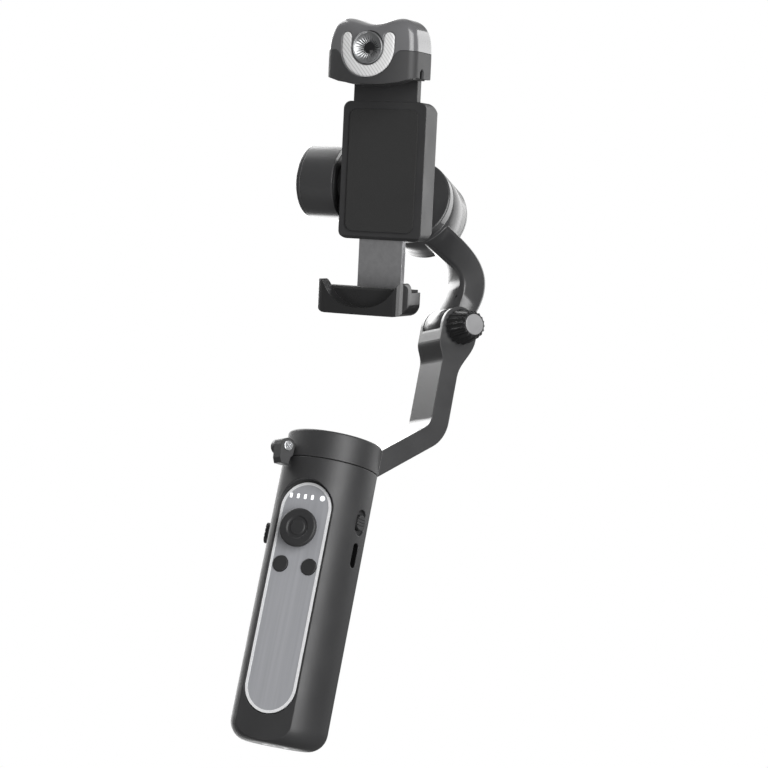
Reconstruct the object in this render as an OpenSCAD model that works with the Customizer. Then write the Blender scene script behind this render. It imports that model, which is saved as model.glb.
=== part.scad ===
// Smartphone gimbal: a round handle, a folding arm and a sprung phone clamp on three motors.
// Millimetres. The origin is the middle of the handle's foot, +Z up the handle,
// -Y the side with the controls and +X the user's right hand.

/* [Handle] */
// Radius of the round handle
handle_r = 17.5; // [17:0.1:19]
// Height of the handle up to the turning joint
handle_h = 102; // [100:0.5:112]
// Wall of the handle tube
handle_wall = 2.2; // [1.8:0.1:2.4]
// Distance from the handle's axis to its flat front
flat_y = 13.8; // [13.6:0.1:14.4]
// Corner radius of the foot
foot_round = 7; // [4:0.5:8]
// Radius of the tripod thread in the foot
thread_r = 3.175; // [3.1:0.005:3.2]
// Depth of the tripod thread
thread_depth = 7; // [5:0.5:8]

/* [Control panel] */
// Half the width of the long panel, which is its end radius
panel_r = 9.85; // [9.4:0.05:10]
// Height of the lowest point of the panel
panel_low = 10.1; // [9:0.1:12]
// Distance from the handle's top edge down to the panel
panel_down = 8.7; // [8:0.1:10]
// Width of the light border
border_w = 1; // [0.6:0.1:1.4]
// Distance from the panel's top down to the joystick's centre
stick_down = 17.3; // [16.3:0.1:19]
// Radius of the joystick's cap
stick_r = 7; // [6:0.1:7.5]
// Distance from the joystick's centre down to the two buttons
button_down = 13.1; // [12:0.1:15]
// Distance of each button from the middle
button_x = 5.6; // [5:0.1:5.9]
// Radius of each button
button_r = 2.9; // [2.4:0.1:3]
// Distance from the panel's top down to the row of lamps
lamp_down = 5.3; // [4.7:0.1:5.8]

/* [Arm] */
// Compass angle of the arm about the handle, from +X
arm_az = 55; // [40:1:70]
// Radius from the handle's axis to the upright part of the arm
arm_r = 38.5; // [37:0.1:40]
// Thickness of the arm's bar
arm_t = 7.9; // [7:0.1:9]
// Width of the arm's bar
arm_w = 15; // [14:0.5:16]
// Slope of the arm's rising part, in degrees
arm_slope = 39.4; // [36:0.2:42]
// Radius of the bend in the bar's middle line
arm_bend_r = 10; // [8:0.5:12]
// Radius from the handle's axis to the folding hinge
hinge_r = 39.8; // [39:0.1:41]
// Height of the folding hinge
hinge_z = 168; // [165:0.5:170]
// Radius of the hinge knuckle
knuckle_r = 8; // [7.5:0.1:8.2]
// Lean of the upper arm away from the handle, in degrees
upper_lean = 15; // [13:0.5:17]
// Width of the upper arm
upper_w = 13; // [12:0.1:13.2]
// Thickness of the upper arm
upper_t = 11.2; // [10.4:0.1:11.6]

/* [Knob] */
// Radius of the locking knob where it meets the arm
knob_r = 7; // [6.6:0.1:7.6]
// Radius of the knob at its front
knob_front_r = 5; // [4.6:0.1:5.4]
// Length of the locking knob
knob_len = 9.2; // [8:0.1:10]
// Number of grip flutes
knob_flutes = 24; // [16:2:28]

/* [Motors] */
// Height of the roll and tilt axes
axis_z = 217.2; // [216:0.1:220]
// Distance of the tilt axis behind the handle's axis
tilt_y = 9.2; // [8.6:0.1:9.4]
// Radius of the pan motor's bell
pan_bell_r = 14.4; // [13.8:0.1:14.6]
// Radius of the roll motor's bell
roll_bell_r = 13.6; // [13:0.1:13.9]
// Outer radius of the roll motor's housing
roll_house_r = 16.5; // [16:0.1:16.8]
// Radius of the tilt motor's bell
tilt_bell_r = 12; // [11.5:0.1:12.2]
// Outer radius of the tilt motor's housing
tilt_house_r = 14; // [13.8:0.1:14.1]
// Radius of the motor shafts
shaft_r = 2; // [1.8:0.1:2.2]
// Number of teeth on each stator
stator_teeth = 9; // [6:3:12]

/* [Clamp] */
// Tilt of the clamp as shown, in degrees
tilt_pose = 20.4; // [18:0.1:21]
// Width of the phone held as shown
phone_w = 77.6; // [74:0.1:80]
// Thickness of the phone held
phone_t = 8.25; // [7.8:0.05:9]
// Distance from the tilt axis to the phone's back
back_gap = 15.25; // [15:0.05:15.6]
// Width of the clamp's housing
clamp_w = 34; // [32:0.5:35]
// Height of the clamp's housing over the tilt axis
clamp_high = 31; // [29:0.5:32]
// Depth of the clamp's housing under the tilt axis
clamp_low = 21; // [19:0.5:21.4]
// Depth of the clamp's housing
clamp_d = 11; // [10.4:0.1:11.4]
// Width of the lower jaw
jaw_w = 37; // [35:0.5:38]
// Height of the lower jaw under the phone
jaw_h = 9; // [8:0.1:10]

/* [Tracker] */
// Width of the tracking module
tracker_w = 35; // [34:0.5:36]
// Height of the module above the phone's edge
tracker_h = 21.7; // [20.5:0.1:22.5]
// Depth of the module
tracker_d = 20; // [19:0.5:21]
// Height of the lens above the phone's edge
lens_up = 11; // [10.6:0.1:11.4]
// Outer radius of the lens ring
lens_r = 5.9; // [5.6:0.1:6]
// Outer radius of the lamp that goes round the lens
glow_r = 11.2; // [10.6:0.1:11.3]

/* [Hidden] */

// Shared clearances and resolution
cut = 1;
run_gap = 0.05;
fit_gap = 0.03;
seat_gap = 0.3;
turn_gap = 0.4;
fine = 96;
medium = 48;
coarse = 32;

// Colours
dark = [0.20, 0.20, 0.21];
black = [0.07, 0.07, 0.08];
grey = [0.52, 0.53, 0.55];
silver = [0.78, 0.78, 0.80];
steel = [0.62, 0.63, 0.65];
copper = [0.72, 0.42, 0.22];
green = [0.10, 0.32, 0.18];
white = [0.93, 0.94, 0.95];
gloss = [0.38, 0.38, 0.40];

// Handle
floor_t = 3;
boss_r = 8;
boss_h = 8;
insert_r = 5;
insert_flange_r = 6.2;
insert_flange_t = 1.2;
inner_r = handle_r - handle_wall;
front_wall = 2;
inner_flat = flat_y - front_wall;
panel_top = handle_h - panel_down;
stick_z = panel_top - stick_down;
button_z = stick_z - button_down;
lamp_z = panel_top - lamp_down;
arch_z = panel_top - panel_r;
sill_z = panel_low + panel_r;
pocket_gap = 0.4;
pocket_depth = 1.5;
window_inset = 0.95;
window_r = panel_r - window_inset;
flat_edge = 0.9;
side_az = -9;
power_up = 6.8;
usb_down = 5.25;
zoom_down = 1;
side_z_power = stick_z + power_up;
side_z_usb = stick_z - usb_down;
side_z_zoom = stick_z - zoom_down;
side_depth = 1;
power_w = 5.5;
power_len = 9.4;
power_cap_len = 5.4;
power_proud = 0.3;
zoom_w = 5;
zoom_len = 11;
zoom_cap_len = 7.6;
zoom_proud = 1.6;
slider_gap = 0.25;
stem_w = 1.6;
stem_len = 2.4;
stem_in = 1;
slider_foot_w = 3.2;
slider_foot_t = 0.6;
travel = 1.5;
usb_w = 3.4;
usb_len = 9;
usb_depth = 7;
usb_wall = 0.4;
usb_round = 1.5;
usb_tongue_t = 0.8;
usb_tongue_len = 6.4;

// Battery and boards
cell_r = 9.1;
cell_len = 64;
cell_y = 4.6;
tray_floor_t = 2;
cell_z = boss_h + tray_floor_t;
cell_nub_r = 2.8;
cell_nub_h = 1;
tray_t = 1.1;
tray_gap = 0.1;
board_t = 1.2;
board_w = 20;
board_len = 46;
board_y = 7.4;
chip_w = 7;
chip_t = 1.1;
panel_board_t = 0.8;
panel_board_drop = 0.8;
post_r = 0.8;
post_x = 5;

// Panel pieces
border_up = 0.1;
skin_t = 0.5;
lamp_w = 0.9;
lamp_h = 1.6;
lamp_pitch = 2.8;
lamp_first_x = -6.7;
mode_x = 5.7;
mode_r = 0.95;
lamp_up = 0.05;
strip_t = 0.6;
lamp_gap = 0.04;
button_gap = 0.15;
button_up = 0.5;
button_travel = 0.5;
button_flange = 0.25;
button_flange_t = 0.7;
button_pocket_gap = 0.2;

// Joystick: a cap on a stem, which turns in a ring, which turns in a socket
stick_hole_r = 4.6;
stick_pivot = 3.5;
stick_cap_low = 2.1;
stick_cap_t = 2.2;
stick_cap_round = 0.7;
stick_dish_r = 4.2;
stick_dish_d = 0.5;
stick_disc_r = 2.6;
stick_disc_up = 0.25;
stem_r = 1.2;
socket_r = 5.3;
socket_in_r = 4.3;
socket_deep = 4.4;
rocker_r = 3.6;
rocker_in_r = 2.4;
rocker_t = 1.6;
pivot_r = 0.45;
pivot_end = 4.8;

// Motors
tube_r = 4.9;
bearing_r = 4;
motor_h = 8.4;
motor_floor_t = 1.6;
bearing_t = 2;
bearing_low = 0.4;
bearing_high = 5.6;
tube_top = 8;
stator_low = 1;
stator_top = 7.2;
magnet_low = 0.8;
magnet_top = 7.6;
bell_wall = 1;
magnet_t = 1.3;
air_gap = 0.4;
slot_w = 1.3;
slot_in = 1.8;
bell_t = 1.6;
shaft_in = 2.4;
house_gap = 0.3;

// Pan joint
pan_sink = 6;
pan_floor_z = handle_h - pan_sink;
cap_h = 10.1;
cap_round = 0.8;
cap_wall = 1.6;
tenon_w = 10;
tenon_in = 4;
tenon_low = 2.6;
tenon_top = 8;

// Arm
arm_root_up = 5.9;
arm_root_z = handle_h + arm_root_up;
arm_root_r = 16.25;
flare_down = 19;
flare_end = 3;
flare_low = hinge_z - flare_down;
flare_top = hinge_z - flare_end;
cheek_t = 1.6;
slot_half = arm_w / 2 - cheek_t;
slot_gap = 0.12;
neck_w = 2 * (slot_half - slot_gap);
pin_r = 2;
pin_head_r = 3.4;
pin_head_t = 0.9;
fold_cut_angle = 84;
fold_cut_len = 16;
set_hole_r = 0.5;
set_hole_d = 1;
knob_gap = 0.3;
knob_chamfer = 0.6;
disc_r = 4;
disc_t = 0.8;
flute_r = 0.65;
flute_out = 0.2;
knob_end_wall = 1.6;

// Folding hook on the turning cap
hook_out = 3.1;
hook_up = 3;
hook_r = handle_r + hook_out;
hook_z = handle_h + hook_up;
hook_head_r = 2.85;
hook_t = 5.2;
hook_low = 6.6;
// The hook's outline: shares of its head's radius and of its reach under the screw
hook_shares = [
    [-1, 0.24], [-1, 0], [-0.8, -0.72], [-0.5, -1], [0.58, -1], [0.68, -0.62], [0.99, -0.44]
];
hook_screw_r = 1.2;
hook_screw_head_r = 1.85;
hook_screw_head_t = 0.6;
lug_t = 2.2;
lug_gap = 0.2;
lug_low = 2.4;
lug_half = 2.3;

// Roll motor and upper arm
roll_face_y = 24.4;
roll_hub_t = 4;
roll_room = 5.6;
roll_front_y = roll_face_y + roll_hub_t + turn_gap;
roll_floor_y = roll_front_y + motor_h;
roll_back_y = roll_floor_y + motor_floor_t + roll_room;
cover_t = 2.2;
cover_spigot = 1.2;
cover_round = 1.4;
path_sink = 0.2;
path_y = roll_floor_y - path_sink;
path_end = 11;
path_end_angle = 51;
path_pull = 11;
path_turn = 14;
path_turn_angle = 37;
neck_from = 14;
neck_to = 17.5;
path_steps = 18;
neck_first = 1;
path_step_share = 0.01;
section_points = 32;
roll_bar_w = 9;
roll_bar_end = 34.5;
bar_round = 3;

// Tilt motor
tilt_face_x = 21;
tilt_floor_x = tilt_face_x + motor_h + bell_t;
tilt_room = 1.9;
tilt_back_x = tilt_floor_x + motor_floor_t + tilt_room;
neck_r = 8.6;

// Clamp
pad_t = 0.7;
rubber_t = 1;
clamp_round = 3;
clamp_front = -(back_gap - pad_t);
clamp_rear = clamp_front + clamp_d;
clamp_taper = 3.4;
clamp_edge = 1.2;
clamp_mid = (clamp_high - clamp_low) / 2;
neck_in = 8;
pad_in = 3;
glass_y = -(back_gap + phone_t);
edge_z = phone_w / 2;
channel_w = 18;
channel_t = 3;
channel_gap = 0.15;
channel_in = 2.2;
channel_end = 12.5;
channel_top = clamp_high - channel_end;
plate_top = 1;
drum_down = 9;
drum_z = clamp_high - drum_down;
drum_r = 3.6;
drum_post_r = 1.8;
drum_w = 8;
drum_room = 0.5;
clamp_cover_w = 22;
clamp_cover_h = 15;
clamp_cover_t = 1;
lip_t = 2.4;
lip_gap = 0.5;
lip_drop = 2.8;
lip_w = 31.8;
upper_plate_t = 1.6;
upper_neck_w = 26;
upper_neck_t = 4;
tracker_gap = 0.1;

// Tracker outline: shares of half the width and of the height over the phone's edge
tracker_shares = [
    [0, 0.875], [0.24, 0.91], [0.54, 0.995], [0.72, 0.955], [0.86, 0.80], [0.95, 0.52],
    [0.99, 0.24], [1, 0.02], [0.93, -0.005], [0.66, -0.07], [0.33, -0.11], [0, -0.115]
];
bulge = 3.5;
tracker_corner = 4;
tracker_out = 8;
tracker_front = glass_y - tracker_out;
split_up = 10.1;
glow_margin = 0.6;
glow_gap = 0.35;
glow_cut_r = glow_r + glow_margin;
glow_inner_r = lens_r + glow_gap;
glow_t = 1.5;
glow_up = 5.6;
glow_deep = 5;
shoulder_r = 2;
lens_in = 1.2;
lens_t = 3;
pupil_r = 2.4;
fin_count = 24;
fin_w = 0.35;
fin_d = 0.6;
magnet_r = 5;
magnet_h = 2;
jack_w = 1.6;
jack_h = 4;
jack_d = 1;
jack_y = 8;

// Lower jaw outline: shares of half the jaw's width and of its height under the shelf
lip_peak = 2.2;
jaw_front = -8;
jaw_wall = 7.5;
jaw_back = 8;
jaw_tongue_w = 22;
jaw_edge = 1.6;
jaw_corner = 4.5;
jaw_bow = 1.2;
jaw_front_corner = 5;
slide_seat = 2;
slide_low = -edge_z - rubber_t - jaw_h + jaw_edge + slide_seat;
jaw_shares = [
    [0, -0.74], [0.2, -0.72], [0.42, -0.6], [0.62, -0.36], [0.76, -0.02], [0.86, 0.22],
    [0.93, 0.235], [0.985, 0.1], [1, -0.1]
];

// Places

module at_front() translate([0, -flat_y, 0]) rotate([90, 0, 0]) children();

module at_side(az, z) rotate([0, 0, az]) translate([handle_r, 0, z]) rotate([0, 90, 0]) children();

module at_pan() translate([0, 0, pan_floor_z]) children();

module at_arm() rotate([0, 0, arm_az]) children();

module at_hinge() at_arm() translate([hinge_r, 0, hinge_z]) children();

module at_hook() at_arm() translate([-hook_r, 0, hook_z]) children();

module at_roll() translate([0, roll_floor_y, axis_z]) rotate([90, 0, 0]) children();

module at_tilt_motor() translate([-tilt_floor_x, tilt_y, axis_z]) rotate([0, 90, 0]) children();

module at_clamp() translate([0, tilt_y, axis_z]) rotate([tilt_pose, 0, 0]) children();

// Shared shapes

// A point of a smooth curve that passes through b and c
function between(a, b, c, d, t) =
    0.5 * (2 * b + (c - a) * t + (2 * a - 5 * b + 4 * c - d) * t * t
    + (3 * b - a - 3 * c + d) * t * t * t);

// An open chain of points, rounded by steps between them
function rounded(p, steps) = [
    for (i = [0 : len(p) - 2]) for (k = [0 : steps - 1])
        between(p[max(i - 1, 0)], p[i], p[i + 1], p[min(i + 2, len(p) - 1)], k / steps),
    p[len(p) - 1]
];

// An arc from one angle to another
function arc(centre, r, from, to, steps) = [
    for (i = [0 : steps]) let(a = from + (to - from) * i / steps) centre + r * [cos(a), sin(a)]
];

// Mirrors an outline that starts and ends on the middle line
function both_sides(half) = concat(
    half, [for (i = [len(half) - 2 : -1 : 1]) [-half[i][0], half[i][1]]]
);

// A plan whose front bows out between two rounded corners
function bowed_plan(w, front, back, bow, corner) =
    let(r = (w * w / 4 + bow * bow) / (2 * bow), reach = r - corner, x = w / 2 - corner,
        y = front + r - sqrt(reach * reach - x * x), turn = asin(x / reach))
    both_sides(concat(
        arc([0, front + r], r, -90, turn - 90, 12), arc([x, y], corner, turn - 90, 0, 6),
        [[w / 2, back], [0, back]]
    ));

function unit(v) = v / norm(v);

// A slot with round ends, standing up from its middle
module pill(half_w, low, top) {
    translate([0, top - half_w]) circle(r = half_w, $fn = fine);
    translate([0, low + half_w]) circle(r = half_w, $fn = fine);
    translate([-half_w, low + half_w]) square([2 * half_w, top - low - 2 * half_w]);
}

module plate_pill(half_w, z0, z1) {
    translate([0, 0, z0]) linear_extrude(z1 - z0) pill(half_w, sill_z - half_w, arch_z + half_w);
}

module ring(r_out, r_in, h) {
    rotate_extrude($fn = fine) translate([r_in, 0]) square([r_out - r_in, h]);
}

module rounded_slab(w, h, t, r) {
    linear_extrude(t) {
        square([w - 2 * r, h], center = true);
        square([w, h - 2 * r], center = true);
        for (x = [-1, 1]) for (y = [-1, 1])
            translate([x * (w / 2 - r), y * (h / 2 - r)]) circle(r = r, $fn = coarse);
    }
}

// A disc whose top edge is rounded
module domed_disc(r, h, round) {
    rotate_extrude($fn = fine)
        polygon(concat([[0, 0], [r, 0]], arc([r - round, h - round], round, 0, 90, 8), [[0, h]]));
}

// A closed skin over rings of points
module loft(rings) {
    n = len(rings[0]);
    m = len(rings);
    polyhedron(
        points = [for (r = rings) each r],
        faces = concat(
            [[for (i = [0 : n - 1]) i]],
            [[for (i = [n - 1 : -1 : 0]) (m - 1) * n + i]],
            [for (j = [0 : m - 2]) for (i = [0 : n - 1])
                [j * n + i, (j + 1) * n + i, (j + 1) * n + (i + 1) % n]],
            [for (j = [0 : m - 2]) for (i = [0 : n - 1])
                [j * n + i, (j + 1) * n + (i + 1) % n, j * n + (i + 1) % n]]
        )
    );
}

// Motor pieces, from the fixed floor at 0 towards the turning side

module motor_tube() {
    difference() {
        cylinder(r = tube_r, h = tube_top, $fn = fine);
        translate([0, 0, bearing_low]) cylinder(r = bearing_r, h = tube_top, $fn = fine);
    }
}

module motor_bearings() {
    for (z = [bearing_low, bearing_high])
        translate([0, 0, z]) ring(bearing_r - fit_gap, shaft_r + run_gap, bearing_t);
}

module motor_stator(bell_r) {
    r_out = bell_r - bell_wall - magnet_t - air_gap;
    translate([0, 0, stator_low]) difference() {
        ring(r_out, tube_r + fit_gap, stator_top - stator_low);
        for (i = [0 : stator_teeth - 1]) rotate([0, 0, i * 360 / stator_teeth])
            translate([tube_r + slot_in, -slot_w / 2, -cut])
                cube([r_out, slot_w, stator_top + cut]);
    }
}

module motor_magnets(bell_r) {
    translate([0, 0, magnet_low])
        ring(bell_r - bell_wall - fit_gap, bell_r - bell_wall - magnet_t, magnet_top - magnet_low);
}

module motor_skirt(bell_r) {
    translate([0, 0, magnet_low]) ring(bell_r, bell_r - bell_wall, motor_h - magnet_low + bell_t);
}

module motor_shaft(length) {
    translate([0, 0, bearing_low + fit_gap]) cylinder(r = shaft_r, h = length, $fn = fine);
}

// Handle

module handle_tube() color(dark) difference() {
    rotate_extrude($fn = fine) polygon(concat(
        [[0, 0]], arc([handle_r - foot_round, foot_round], foot_round, -90, 0, 12),
        [[handle_r, handle_h], [0, handle_h]]
    ));
    at_front() {
        linear_extrude(handle_r) {
            translate([0, arch_z]) circle(r = panel_r + flat_edge, $fn = fine);
            translate([-handle_r, -cut]) square([2 * handle_r, arch_z + cut]);
        }
        plate_pill(panel_r + pocket_gap, -pocket_depth, cut);
        plate_pill(window_r, -handle_wall - cut, cut);
    }
    difference() {
        translate([0, 0, floor_t]) cylinder(r = inner_r, h = handle_h, $fn = fine);
        translate([-handle_r, -handle_r - inner_flat, -cut])
            cube([2 * handle_r, handle_r, pan_floor_z - motor_floor_t + cut]);
        cylinder(r = boss_r, h = boss_h, $fn = medium);
    }
    translate([0, 0, -cut]) cylinder(r = insert_r + fit_gap, h = boss_h + 2 * cut, $fn = fine);
    translate([0, 0, boss_h - insert_flange_t])
        cylinder(r = insert_flange_r + fit_gap, h = insert_flange_t + cut, $fn = fine);
    at_side(side_az, side_z_power) slider_pocket(power_w, power_len);
    at_side(180 - side_az, side_z_zoom) slider_pocket(zoom_w, zoom_len);
    at_side(side_az, side_z_usb) rotate([0, 0, 90])
        translate([0, 0, -handle_wall - cut]) rounded_slab(
            usb_w + 2 * fit_gap, usb_len + 2 * fit_gap, handle_r, usb_round + fit_gap);
}

// A pocket for a thumb slider, with a through slot for its stem
module slider_pocket(w, len) {
    translate([0, 0, -side_depth - slider_gap]) rotate([0, 0, 90])
        rounded_slab(w, len, handle_r, w / 2 - slider_gap);
    translate([0, 0, -handle_wall - cut]) rotate([0, 0, 90])
        rounded_slab(stem_w + 2 * slider_gap, stem_len + 2 * travel + 2 * slider_gap,
            handle_r, stem_w / 2);
}

// A thumb slider: ribbed cap, stem through the slot and a foot inside the wall
module slider(w, len, proud) {
    cap_w = w - 2 * slider_gap;
    rotate([0, 0, 90]) difference() {
        union() {
            translate([0, 0, -side_depth])
                rounded_slab(cap_w, len, side_depth + proud, cap_w / 2 - slider_gap);
            translate([0, 0, -handle_wall - stem_in])
                rounded_slab(stem_w, stem_len, handle_wall + stem_in, stem_w / 2 - slider_gap);
            translate([0, 0, -handle_wall - stem_in])
                rounded_slab(slider_foot_w, slider_foot_w, slider_foot_t, stem_w / 2 - slider_gap);
        }
        for (i = [-1 : 1]) translate([-w, i * len / 5 - slider_gap / 2, proud - slider_gap])
            cube([2 * w, slider_gap, cut]);
    }
}

module power_slider() color(black) at_side(side_az, side_z_power)
    slider(power_w, power_cap_len, power_proud);

module zoom_slider() color(black) at_side(180 - side_az, side_z_zoom)
    slider(zoom_w, zoom_cap_len, zoom_proud);

module tripod_insert() color(steel) difference() {
    union() {
        cylinder(r = insert_r, h = boss_h - fit_gap, $fn = fine);
        translate([0, 0, boss_h - insert_flange_t + fit_gap])
            cylinder(r = insert_flange_r, h = insert_flange_t - fit_gap, $fn = fine);
    }
    translate([0, 0, -cut]) cylinder(r = thread_r, h = thread_depth + cut, $fn = fine);
}

module battery_tray() color(black) translate([0, cell_y, boss_h]) difference() {
    cylinder(r = cell_r + tray_gap + tray_t, h = cell_len - cell_nub_h, $fn = fine);
    translate([0, 0, cell_z - boss_h]) cylinder(r = cell_r + tray_gap, h = cell_len, $fn = fine);
    translate([-handle_r, -2 * handle_r, -cut]) cube([2 * handle_r, 2 * handle_r, cell_len + 2 * cut]);
}

module battery_cell() color("seagreen") translate([0, cell_y, cell_z]) {
    cylinder(r = cell_r, h = cell_len - cell_nub_h, $fn = fine);
    cylinder(r = cell_nub_r, h = cell_len, $fn = medium);
}

module main_board() color(green) {
    translate([-board_w / 2, -board_y, boss_h]) cube([board_w, board_t, cell_z + board_len - boss_h]);
    for (z = [cell_z, cell_z + board_len / 2])
        translate([-chip_w / 2, -board_y - chip_t, z]) cube([chip_w, chip_t, chip_w]);
}

module usb_port() color(silver) at_side(side_az, side_z_usb) rotate([0, 0, 90]) {
    translate([0, 0, -usb_depth]) difference() {
        rounded_slab(usb_w, usb_len, usb_depth - seat_gap, usb_round);
        translate([0, 0, usb_wall]) rounded_slab(usb_w - 2 * usb_wall, usb_len - 2 * usb_wall,
            usb_depth, usb_round - usb_wall);
    }
    translate([-usb_tongue_t / 2, -usb_tongue_len / 2, -usb_depth])
        cube([usb_tongue_t, usb_tongue_len, usb_depth - 2 * cut]);
}

// Control panel

module button_holes(r, z0, z1) {
    for (x = [-1, 1]) translate([x * button_x, button_z, z0])
        cylinder(r = r, h = z1 - z0, $fn = medium);
}

module pad_housing() color(black) at_front() difference() {
    union() {
        plate_pill(panel_r, -pocket_depth, -skin_t);
        for (z = [sill_z, (arch_z + sill_z) / 2 - post_x]) for (x = [-1, 1])
            translate([x * post_x, z, -pocket_depth - panel_board_drop])
                cylinder(r = post_r, h = panel_board_drop + skin_t, $fn = medium);
    }
    translate([0, stick_z, -handle_r]) cylinder(r = stick_hole_r, h = 2 * handle_r, $fn = fine);
    button_holes(button_r + button_flange + button_pocket_gap, -pocket_depth - cut, cut);
    lamp_strip(lamp_gap);
}

module panel_border() color(silver) at_front() difference() {
    plate_pill(panel_r, -skin_t, border_up);
    plate_pill(panel_r - border_w, -cut, cut);
}

module lamp_places() {
    for (i = [0 : 3]) translate([lamp_first_x + i * lamp_pitch, lamp_z, 0]) children();
}

module panel_plate() color(grey) at_front() difference() {
    plate_pill(panel_r - border_w, -skin_t, 0);
    translate([0, stick_z, -cut]) cylinder(r = stick_hole_r, h = 2 * cut, $fn = fine);
    button_holes(button_r + button_gap, -cut, cut);
    lamp_places() cube([lamp_w + 2 * lamp_gap, lamp_h + 2 * lamp_gap, 2 * cut], center = true);
    translate([mode_x, lamp_z, -cut]) cylinder(r = mode_r + lamp_gap, h = 2 * cut, $fn = medium);
}

module battery_lamps() color(white) at_front() {
    lamp_places() translate([-lamp_w / 2, -lamp_h / 2, -skin_t - cut / 2])
        cube([lamp_w, lamp_h, skin_t + lamp_up + cut / 2]);
    lamp_strip(0);
}

// The strip that joins the lamp bars behind the plate
module lamp_strip(gap) {
    translate([lamp_first_x - lamp_w - gap, lamp_z - lamp_h / 2 - gap, -skin_t - strip_t])
        cube([3 * lamp_pitch + 2 * lamp_w + 2 * gap, lamp_h + 2 * gap, strip_t]);
}

module mode_lamp() color(white) at_front() translate([mode_x, lamp_z, -skin_t])
    cylinder(r = mode_r, h = skin_t + lamp_up, $fn = medium);

module panel_board() color(green) at_front() difference() {
    plate_pill(window_r - seat_gap, -pocket_depth - panel_board_drop - panel_board_t,
        -pocket_depth - panel_board_drop);
    translate([0, stick_z, -handle_r]) cylinder(r = socket_r + seat_gap, h = handle_r, $fn = fine);
}

module button(x) {
    at_front() translate([x, button_z, 0]) {
        translate([0, 0, -skin_t - run_gap])
            domed_disc(button_r, skin_t + run_gap + button_up, button_up / 2);
        translate([0, 0, -skin_t - run_gap - button_flange_t])
            cylinder(r = button_r + button_flange, h = button_flange_t, $fn = medium);
    }
}

module left_button() color(black) button(-button_x);

module right_button() color(black) button(button_x);

// Joystick, about its pivot under the panel
module at_stick() at_front() translate([0, stick_z, -stick_pivot]) children();

module joystick_socket() color(black) at_stick() difference() {
    translate([0, 0, -socket_deep + rocker_t])
        cylinder(r = socket_r, h = stick_pivot - pocket_depth + socket_deep - rocker_t, $fn = fine);
    translate([0, 0, -socket_deep + rocker_t + board_t])
        cylinder(r = socket_in_r, h = stick_pivot + socket_deep, $fn = fine);
    rotate([0, 90, 0])
        cylinder(r = pivot_r + run_gap, h = 2 * handle_r, center = true, $fn = medium);
}

module joystick_rocker() color(steel) at_stick() difference() {
    union() {
        translate([0, 0, -rocker_t / 2]) cylinder(r = rocker_r, h = rocker_t, $fn = fine);
        rotate([0, 90, 0]) cylinder(r = pivot_r, h = 2 * pivot_end, center = true, $fn = medium);
    }
    cylinder(r = rocker_in_r, h = 2 * rocker_t, center = true, $fn = fine);
    rotate([90, 0, 0])
        cylinder(r = pivot_r + run_gap, h = 2 * handle_r, center = true, $fn = medium);
}

module joystick_stem() color(steel) at_stick() {
    translate([0, 0, -rocker_t / 2])
        cylinder(r = stem_r, h = rocker_t / 2 + stick_pivot + stick_cap_low + cut, $fn = medium);
    rotate([90, 0, 0])
        cylinder(r = pivot_r, h = 2 * (rocker_r - run_gap), center = true, $fn = medium);
}

module joystick_cap() color(black) at_stick() translate([0, 0, stick_pivot + stick_cap_low])
difference() {
    rotate_extrude($fn = fine) polygon(concat(
        [[0, 0], [stick_r - stick_cap_round, 0]],
        arc([stick_r - stick_cap_round, stick_cap_round], stick_cap_round, -90, 0, 6),
        arc([stick_r - stick_cap_round, stick_cap_t - stick_cap_round], stick_cap_round, 0, 90, 6),
        [[stick_dish_r, stick_cap_t], [stick_dish_r - stick_dish_d, stick_cap_t - stick_dish_d],
            [stick_disc_r + stick_disc_up, stick_cap_t - stick_dish_d],
            [stick_disc_r, stick_cap_t - stick_dish_d + stick_disc_up],
            [0, stick_cap_t - stick_dish_d + stick_disc_up]]
    ));
    translate([0, 0, -cut]) cylinder(r = stem_r + fit_gap, h = 2 * cut + fit_gap, $fn = medium);
}

// Pan joint

module pan_motor_base() color(black) at_pan() {
    translate([0, 0, -motor_floor_t])
        cylinder(r = inner_r - fit_gap, h = motor_floor_t, $fn = fine);
    motor_tube();
}

module pan_bearings() color(steel) at_pan() motor_bearings();

module pan_stator() color(copper) at_pan() motor_stator(pan_bell_r);

module pan_magnets() color(steel) at_pan() motor_magnets(pan_bell_r);

module pan_shaft() color(steel) at_pan() motor_shaft(motor_h + shaft_in);

module pan_cap() color(dark) difference() {
    union() {
        translate([0, 0, handle_h + seat_gap]) domed_disc(handle_r, cap_h, cap_round);
        at_pan() motor_skirt(pan_bell_r);
        at_hook() translate([0, hook_t / 2 + lug_gap, 0]) rotate([-90, 0, 0]) linear_extrude(lug_t) {
            circle(r = hook_head_r, $fn = medium);
            translate([0, -lug_half]) square([hook_r - handle_r + cap_wall, 2 * lug_half]);
        }
    }
    translate([0, 0, pan_floor_z]) difference() {
        cylinder(r = handle_r - cap_wall, h = motor_h, $fn = fine);
        motor_skirt(pan_bell_r);
    }
    at_pan() motor_shaft_hole();
    at_arm() translate([handle_r - tenon_in - fit_gap, -tenon_w / 2 - fit_gap, handle_h + tenon_low])
        cube([handle_r, tenon_w + 2 * fit_gap, tenon_top - tenon_low]);
    at_hook() rotate([-90, 0, 0]) cylinder(r = hook_screw_r + fit_gap, h = handle_r, $fn = medium);
}

// The blind hole that takes a motor's shaft in the turning piece
module motor_shaft_hole() {
    translate([0, 0, motor_h - cut])
        cylinder(r = shaft_r + fit_gap, h = shaft_in + cut + bearing_low + 2 * fit_gap, $fn = fine);
}

// Arm

bend_mid = [arm_r - arm_bend_r, arm_root_z + (arm_r - arm_root_r) * tan(arm_slope)
    + arm_bend_r * tan((90 - arm_slope) / 2)];
bar_in_x = arm_r - arm_t / 2;
bar_out_x = arm_r + arm_t / 2;

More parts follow.
